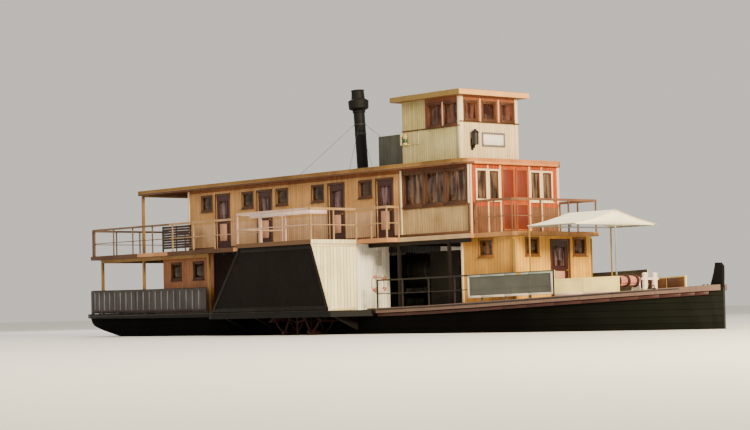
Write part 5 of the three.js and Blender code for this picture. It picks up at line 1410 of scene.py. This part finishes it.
rivets = [turned(RIVET, place, place - centre, 8) for centre in hoop_centres
          for place in ring_path(centre, RIVETS_OUT, FUNNEL_AXIS, RIVETS_ROUND)]
eye_band = FUNNEL_FOOT + EYE_BAND_AT * FUNNEL_AXIS
stays, deck_eyes = [], []
for foot in STAY_FEET:
    away = STAY_OUT * np.sign((foot[0] - eye_band[0], foot[1], 0))
    stays.append(tube(np.linspace(eye_band + away, foot, 3), STAY_RADIUS, sides=6))
    deck_eyes.append(turned(DECK_EYE, foot, sides=12))
band = turned(EYE_BAND, eye_band, FUNNEL_AXIS, 40)
piece("funnel_hoops_and_rivets", [(merged(*hoops, *rivets), black_iron)], crease=35)
piece("funnel_stays", [(merged(*stays, *deck_eyes, band), black_iron)], crease=40)
print("funnel:", len(hoops), "hoops,", len(rivets), "rivets,", len(stays), "stays")

# %% [markdown]
# The water tank on the roof is folded and riveted plate, with angle iron on its edges, a lid let into its
# top and a pipe that takes water down to the galley. The boiler below has lagging held by hoops, a dome
# with a safety valve, and a fire door with strap hinges at its fore end.

# %% Tank
TANK_X, TANK_Y, TANK_Z = (0.95, 2.30), (-0.80, 0.80), (6.711, 7.95)
ANGLE_WIDE, ANGLE_THICK = 0.055, 0.006
side_sheet = shrunk((*TANK_X, *TANK_Z), ANGLE_WIDE)
end_sheet = shrunk((*TANK_Y, *TANK_Z), ANGLE_WIDE)
side_angles = [row for y in (TANK_Y[0] - ANGLE_THICK, TANK_Y[1])
               for row in rim(side_sheet, ANGLE_WIDE, y, y + ANGLE_THICK)]
end_angles = [row for x in (TANK_X[0] - ANGLE_THICK, TANK_X[1])
              for row in rim(end_sheet, ANGLE_WIDE, x, x + ANGLE_THICK)]
tank_lid = boxes([(1.354, 1.896, -0.296, 0.296, 7.902, 7.925)])
lid_grip = tube([(1.62, -0.09, 7.925), (1.62, -0.085, 7.96), (1.62, 0.085, 7.96), (1.62, 0.09, 7.925)], 0.009,
                up=FORWARD)
down_pipe = tube([(0.96, 0.42, 6.86), (0.86, 0.42, 6.86), (0.80, 0.42, 6.82), (0.79, 0.42, 6.712)], 0.024,
                 up=(0, 1, 0))
piece("roof_tank_edges", [
    (merged(on_wall("y", side_angles), on_wall("x", end_angles)), tank_grey),
    (merged(tank_lid, lid_grip, down_pipe), black_iron),
], crease=35)
print("tank fitted")

# %% Boiler
BOILER_HOOP = [(0.601, -0.03), (0.608, -0.03), (0.608, 0.03), (0.601, 0.03)]
BOILER_HOOPS_X, BOILER_Z, BOILER_FORE = (0.15, 1.15, 2.15, 3.05), 3.05, 4.90
DOME = [(0.24, -0.05), (0.24, 0.02), (0.19, 0.04), (0.19, 0.20), (0.13, 0.27), (0.05, 0.29), (0.05, 0.33)]
boiler_hoops = [turned(BOILER_HOOP, (x, 0, BOILER_Z), FORWARD, 64) for x in BOILER_HOOPS_X]
dome = turned(DOME, (1.65, 0, 3.64), sides=28)
fire_door = boxes([
    (4.901, 4.93, -0.30, 0.30, 2.35, 2.80),  # door
    (4.93, 4.945, -0.36, 0.22, 2.42, 2.48),  # lower strap
    (4.93, 4.945, -0.36, 0.22, 2.67, 2.73),  # upper strap
    (4.901, 4.925, -0.38, -0.30, 2.38, 2.77),  # hinge plate
])
stay_bolts = [turned(RIVET, (BOILER_FORE, y, z), FORWARD, 8)
              for y in np.linspace(-0.56, 0.56, 8) for z in (2.05, 3.05, 3.30, 3.55)]
gauge_glass = tube([(4.96, 0.42, 3.00), (4.96, 0.42, 3.38)], 0.012, up=FORWARD)
gauge_ends = boxes([(BOILER_FORE, 4.975, 0.40, 0.44, z, z + 0.035) for z in (2.98, 3.36)])
piece("boiler_fittings", [
    (merged(*boiler_hoops, fire_door, *stay_bolts), black_iron), (dome, soot_black),
    (gauge_ends, dull_brass), (gauge_glass, door_glass),
], crease=35)
print("boiler fitted:", len(boiler_hoops), "hoops,", len(stay_bolts), "bolts")

# %% [markdown]
# Moving pieces carry their fittings with them. Each float of a paddle wheel is clamped to its two arms by
# iron straps with bolts, the windlass barrel has whelps, which are strips that make the chain bite, and the
# steering wheel has turned grips and brass rings let into its rim.

# %% Paddle wheels
AXLE_AT, FLOATS = (-0.30, 0.0, 2.20), 12
ARMS_OUT, CLAMP_STEP = (3.10, 3.75), 0.09
FLOAT_FACE, STRAP_THICK, STRAP_HALF = 0.020, 0.008, 0.03
BOLT = [(0.016, 0), (0.016, 0.012)]


def spun(shape, count, centre, axis):
    """Copies of a shape turned about the x, y or z line through centre. With i and j the two axes after the
    turning one, p_i becomes p_i cos a - p_j sin a and p_j becomes p_i sin a + p_j cos a."""
    points, corners, sizes = shape
    i, j = ("xyz".index(axis) + 1) % 3, ("xyz".index(axis) + 2) % 3
    turn = np.linspace(0, 2 * np.pi, count, endpoint=False)[:, None]
    local = points - np.array(centre)
    copies = np.repeat(local[None], count, axis=0)
    copies[:, :, i] = local[:, i] * np.cos(turn) - local[:, j] * np.sin(turn)
    copies[:, :, j] = local[:, i] * np.sin(turn) + local[:, j] * np.cos(turn)
    shifted = corners + len(points) * np.arange(count)[:, None]
    return (copies + np.array(centre)).reshape(-1, 3), shifted.ravel(), np.tile(sizes, count)


axle_x = AXLE_AT[0]
clamps = [(out + step, side) for out in ARMS_OUT for step in (-CLAMP_STEP, CLAMP_STEP) for side in (-1, 1)]
straps = [(axle_x + side * FLOAT_FACE, axle_x + side * (FLOAT_FACE + STRAP_THICK),
           -out - STRAP_HALF, -out + STRAP_HALF, 3.60, 3.90) for out, side in clamps]
bolts = [turned(BOLT, (axle_x + side * (FLOAT_FACE + STRAP_THICK), -out, z), (side, 0, 0), 6)
         for out, side in clamps for z in (3.65, 3.85)]
hub_plates = [(axle_x - 0.055, axle_x + 0.055, -out - 0.008, -out, 2.24, 2.62) for out in (3.12, 3.77)]
wheel_irons = merged(spun(merged(boxes(straps), *bolts), FLOATS, AXLE_AT, "y"),
                     spun(boxes(hub_plates), FLOATS, AXLE_AT, "y"))
piece("paddle_float_irons", [(on_both_sides(wheel_irons), black_iron)], body="paddle_wheels")
print("paddle wheels:", 2 * FLOATS, "floats clamped")

# %% Windlass and steering wheel
WINDLASS_AT, WHELPS = (11.96, 0.0, 2.43), 10
AXLE_NUT = [(0.05, 0), (0.05, 0.03)]
HELM_AT, SPOKES = (4.98, 0.0, 7.70), 8
GRIP = [(0.027, 0.0), (0.031, 0.02), (0.028, 0.05), (0.031, 0.08), (0.020, 0.093)]
HUB_CAP = [(0.075, 0), (0.075, 0.008), (0.05, 0.02), (0.02, 0.026)]
windlass_x, _, windlass_z = WINDLASS_AT
whelps = boxes([(windlass_x - 0.018, windlass_x + 0.018, y0, y1, 2.577, 2.597)
                for y0, y1 in ((-0.392, -0.042), (0.042, 0.392))])
axle_nuts = [turned(AXLE_NUT, (windlass_x, side * 0.80, windlass_z), (0, side, 0), 6) for side in (-1, 1)]
piece("windlass_whelps", [
    (spun(whelps, WHELPS, WINDLASS_AT, "y"), windlass_paint), (merged(*axle_nuts), black_iron),
], body="windlass_drum")

helm_x, _, helm_z = HELM_AT
grip = turned(GRIP, (helm_x, 0, 8.406), sides=14)
rim_rings = [tube(ring_path((x, 0, helm_z), 0.67, FORWARD, 64), 0.007, sides=8, closed=True, up=FORWARD)
             for x in (helm_x - 0.025, helm_x + 0.025)]
hub_cap = turned(HUB_CAP, (helm_x - 0.04, 0, helm_z), (-1, 0, 0), 24)
piece("steering_wheel_grips", [
    (spun(grip, SPOKES, HELM_AT, "x"), turned_wood), (merged(*rim_rings, hub_cap), dull_brass),
], body="steering_wheel", crease=50)
print("windlass and steering wheel fitted")

# %% [markdown]
# Deck fittings. Mooring bitts wear an iron band and a cap where ropes would chafe them. An iron band covers
# the stem, fairleads stand on the gunwale, and the stair aft has nosings on its treads and a handrail on
# each side.

# %% Deck fittings
CAP = [(0.095, -0.03), (0.098, 0.0), (0.085, 0.02), (0.03, 0.035)]
CHAFING_BAND = [(0.0905, -0.36), (0.096, -0.36), (0.096, -0.32), (0.0905, -0.32)]
BITTS = [("mooring_bitts_fore", bitts_pink, "white_paint"), ("mooring_bitts_aft", black_iron, "dark_timber")]
POST_OUT = 0.23
for node, finish, slot in BITTS:
    low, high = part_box(node)
    tops = [((low.x + high.x) / 2, y, high.z) for y in (-POST_OUT, POST_OUT)]
    fittings = [turned(profile, top, sides=20) for profile in (CAP, CHAFING_BAND) for top in tops]
    piece(f"{node}_caps", [(merged(*fittings), finish)], crease=40)

stem_band = boxes([(15.981, 15.996, -0.035, 0.035, 0.02, 2.12)])
fairlead_at = deck_edge_line([14.2, -13.2], -0.035, 0.036)
fairleads = []
for x, y, z in fairlead_at:
    fairleads.append(boxes([(x - 0.17, x + 0.17, y - 0.035, y + 0.035, z, z + 0.025)]))
    for end in (-1, 1):
        horn = [(x + end * 0.13, y, z + 0.02), (x + end * 0.12, y, z + 0.09), (x + end * 0.05, y, z + 0.12)]
        fairleads.append(tube(horn, 0.018, up=(0, 1, 0)))
stem_and_fairleads = merged(stem_band, on_both_sides(merged(*fairleads)))
piece("stem_band_and_fairleads", [(stem_and_fairleads, black_iron)], crease=40)
print("bitts, stem band and", 2 * len(fairlead_at), "fairleads")

# %% Stair
STAIR_FOOT_X, STAIR_FOOT_Z, STAIR_LEAN = -13.9, 1.65, 0.645
TREADS, STAIR_RISE, TREAD_FORE = 10, 2.47, 0.02
HANDRAIL_UP, HANDRAILS_Y, BALUSTERS_Z = 0.85, (0.95, 1.60), (1.78, 2.58, 3.38, 4.08)


def stair_x(z):
    """Where the stair's line is at a height z: x = foot + lean (z - foot height)."""
    return STAIR_FOOT_X + (z - STAIR_FOOT_Z) * STAIR_LEAN


tread_z = MAIN_DECK + STAIR_RISE * np.arange(1, TREADS + 1) / (TREADS + 1)
tread_x = stair_x(tread_z) + TREAD_FORE
nosings = boxes(np.stack([tread_x - 0.004, tread_x + 0.03, np.full(TREADS, 0.975), np.full(TREADS, 1.575),
                          tread_z, tread_z + 0.004], axis=1))
handrail_z = np.array([2.45, 4.95])
handrails, balusters = [], []
for y in HANDRAILS_Y:
    line = np.stack([stair_x(handrail_z - HANDRAIL_UP), np.full(2, y), handrail_z], axis=1)
    handrails.append(tube(line, 0.021, sides=12, up=(0, 1, 0)))
    for z in BALUSTERS_Z:
        x = stair_x(z) + TREAD_FORE
        balusters.append(tube([(x, y, z), (x, y, z + HANDRAIL_UP + 0.02)], 0.012, sides=8, up=(0, 1, 0)))
piece("stair_handrails", [(merged(*handrails, *balusters), turned_wood), (nosings, dull_brass)],
      crease=50)
print("stair:", TREADS, "treads,", len(balusters), "balusters")
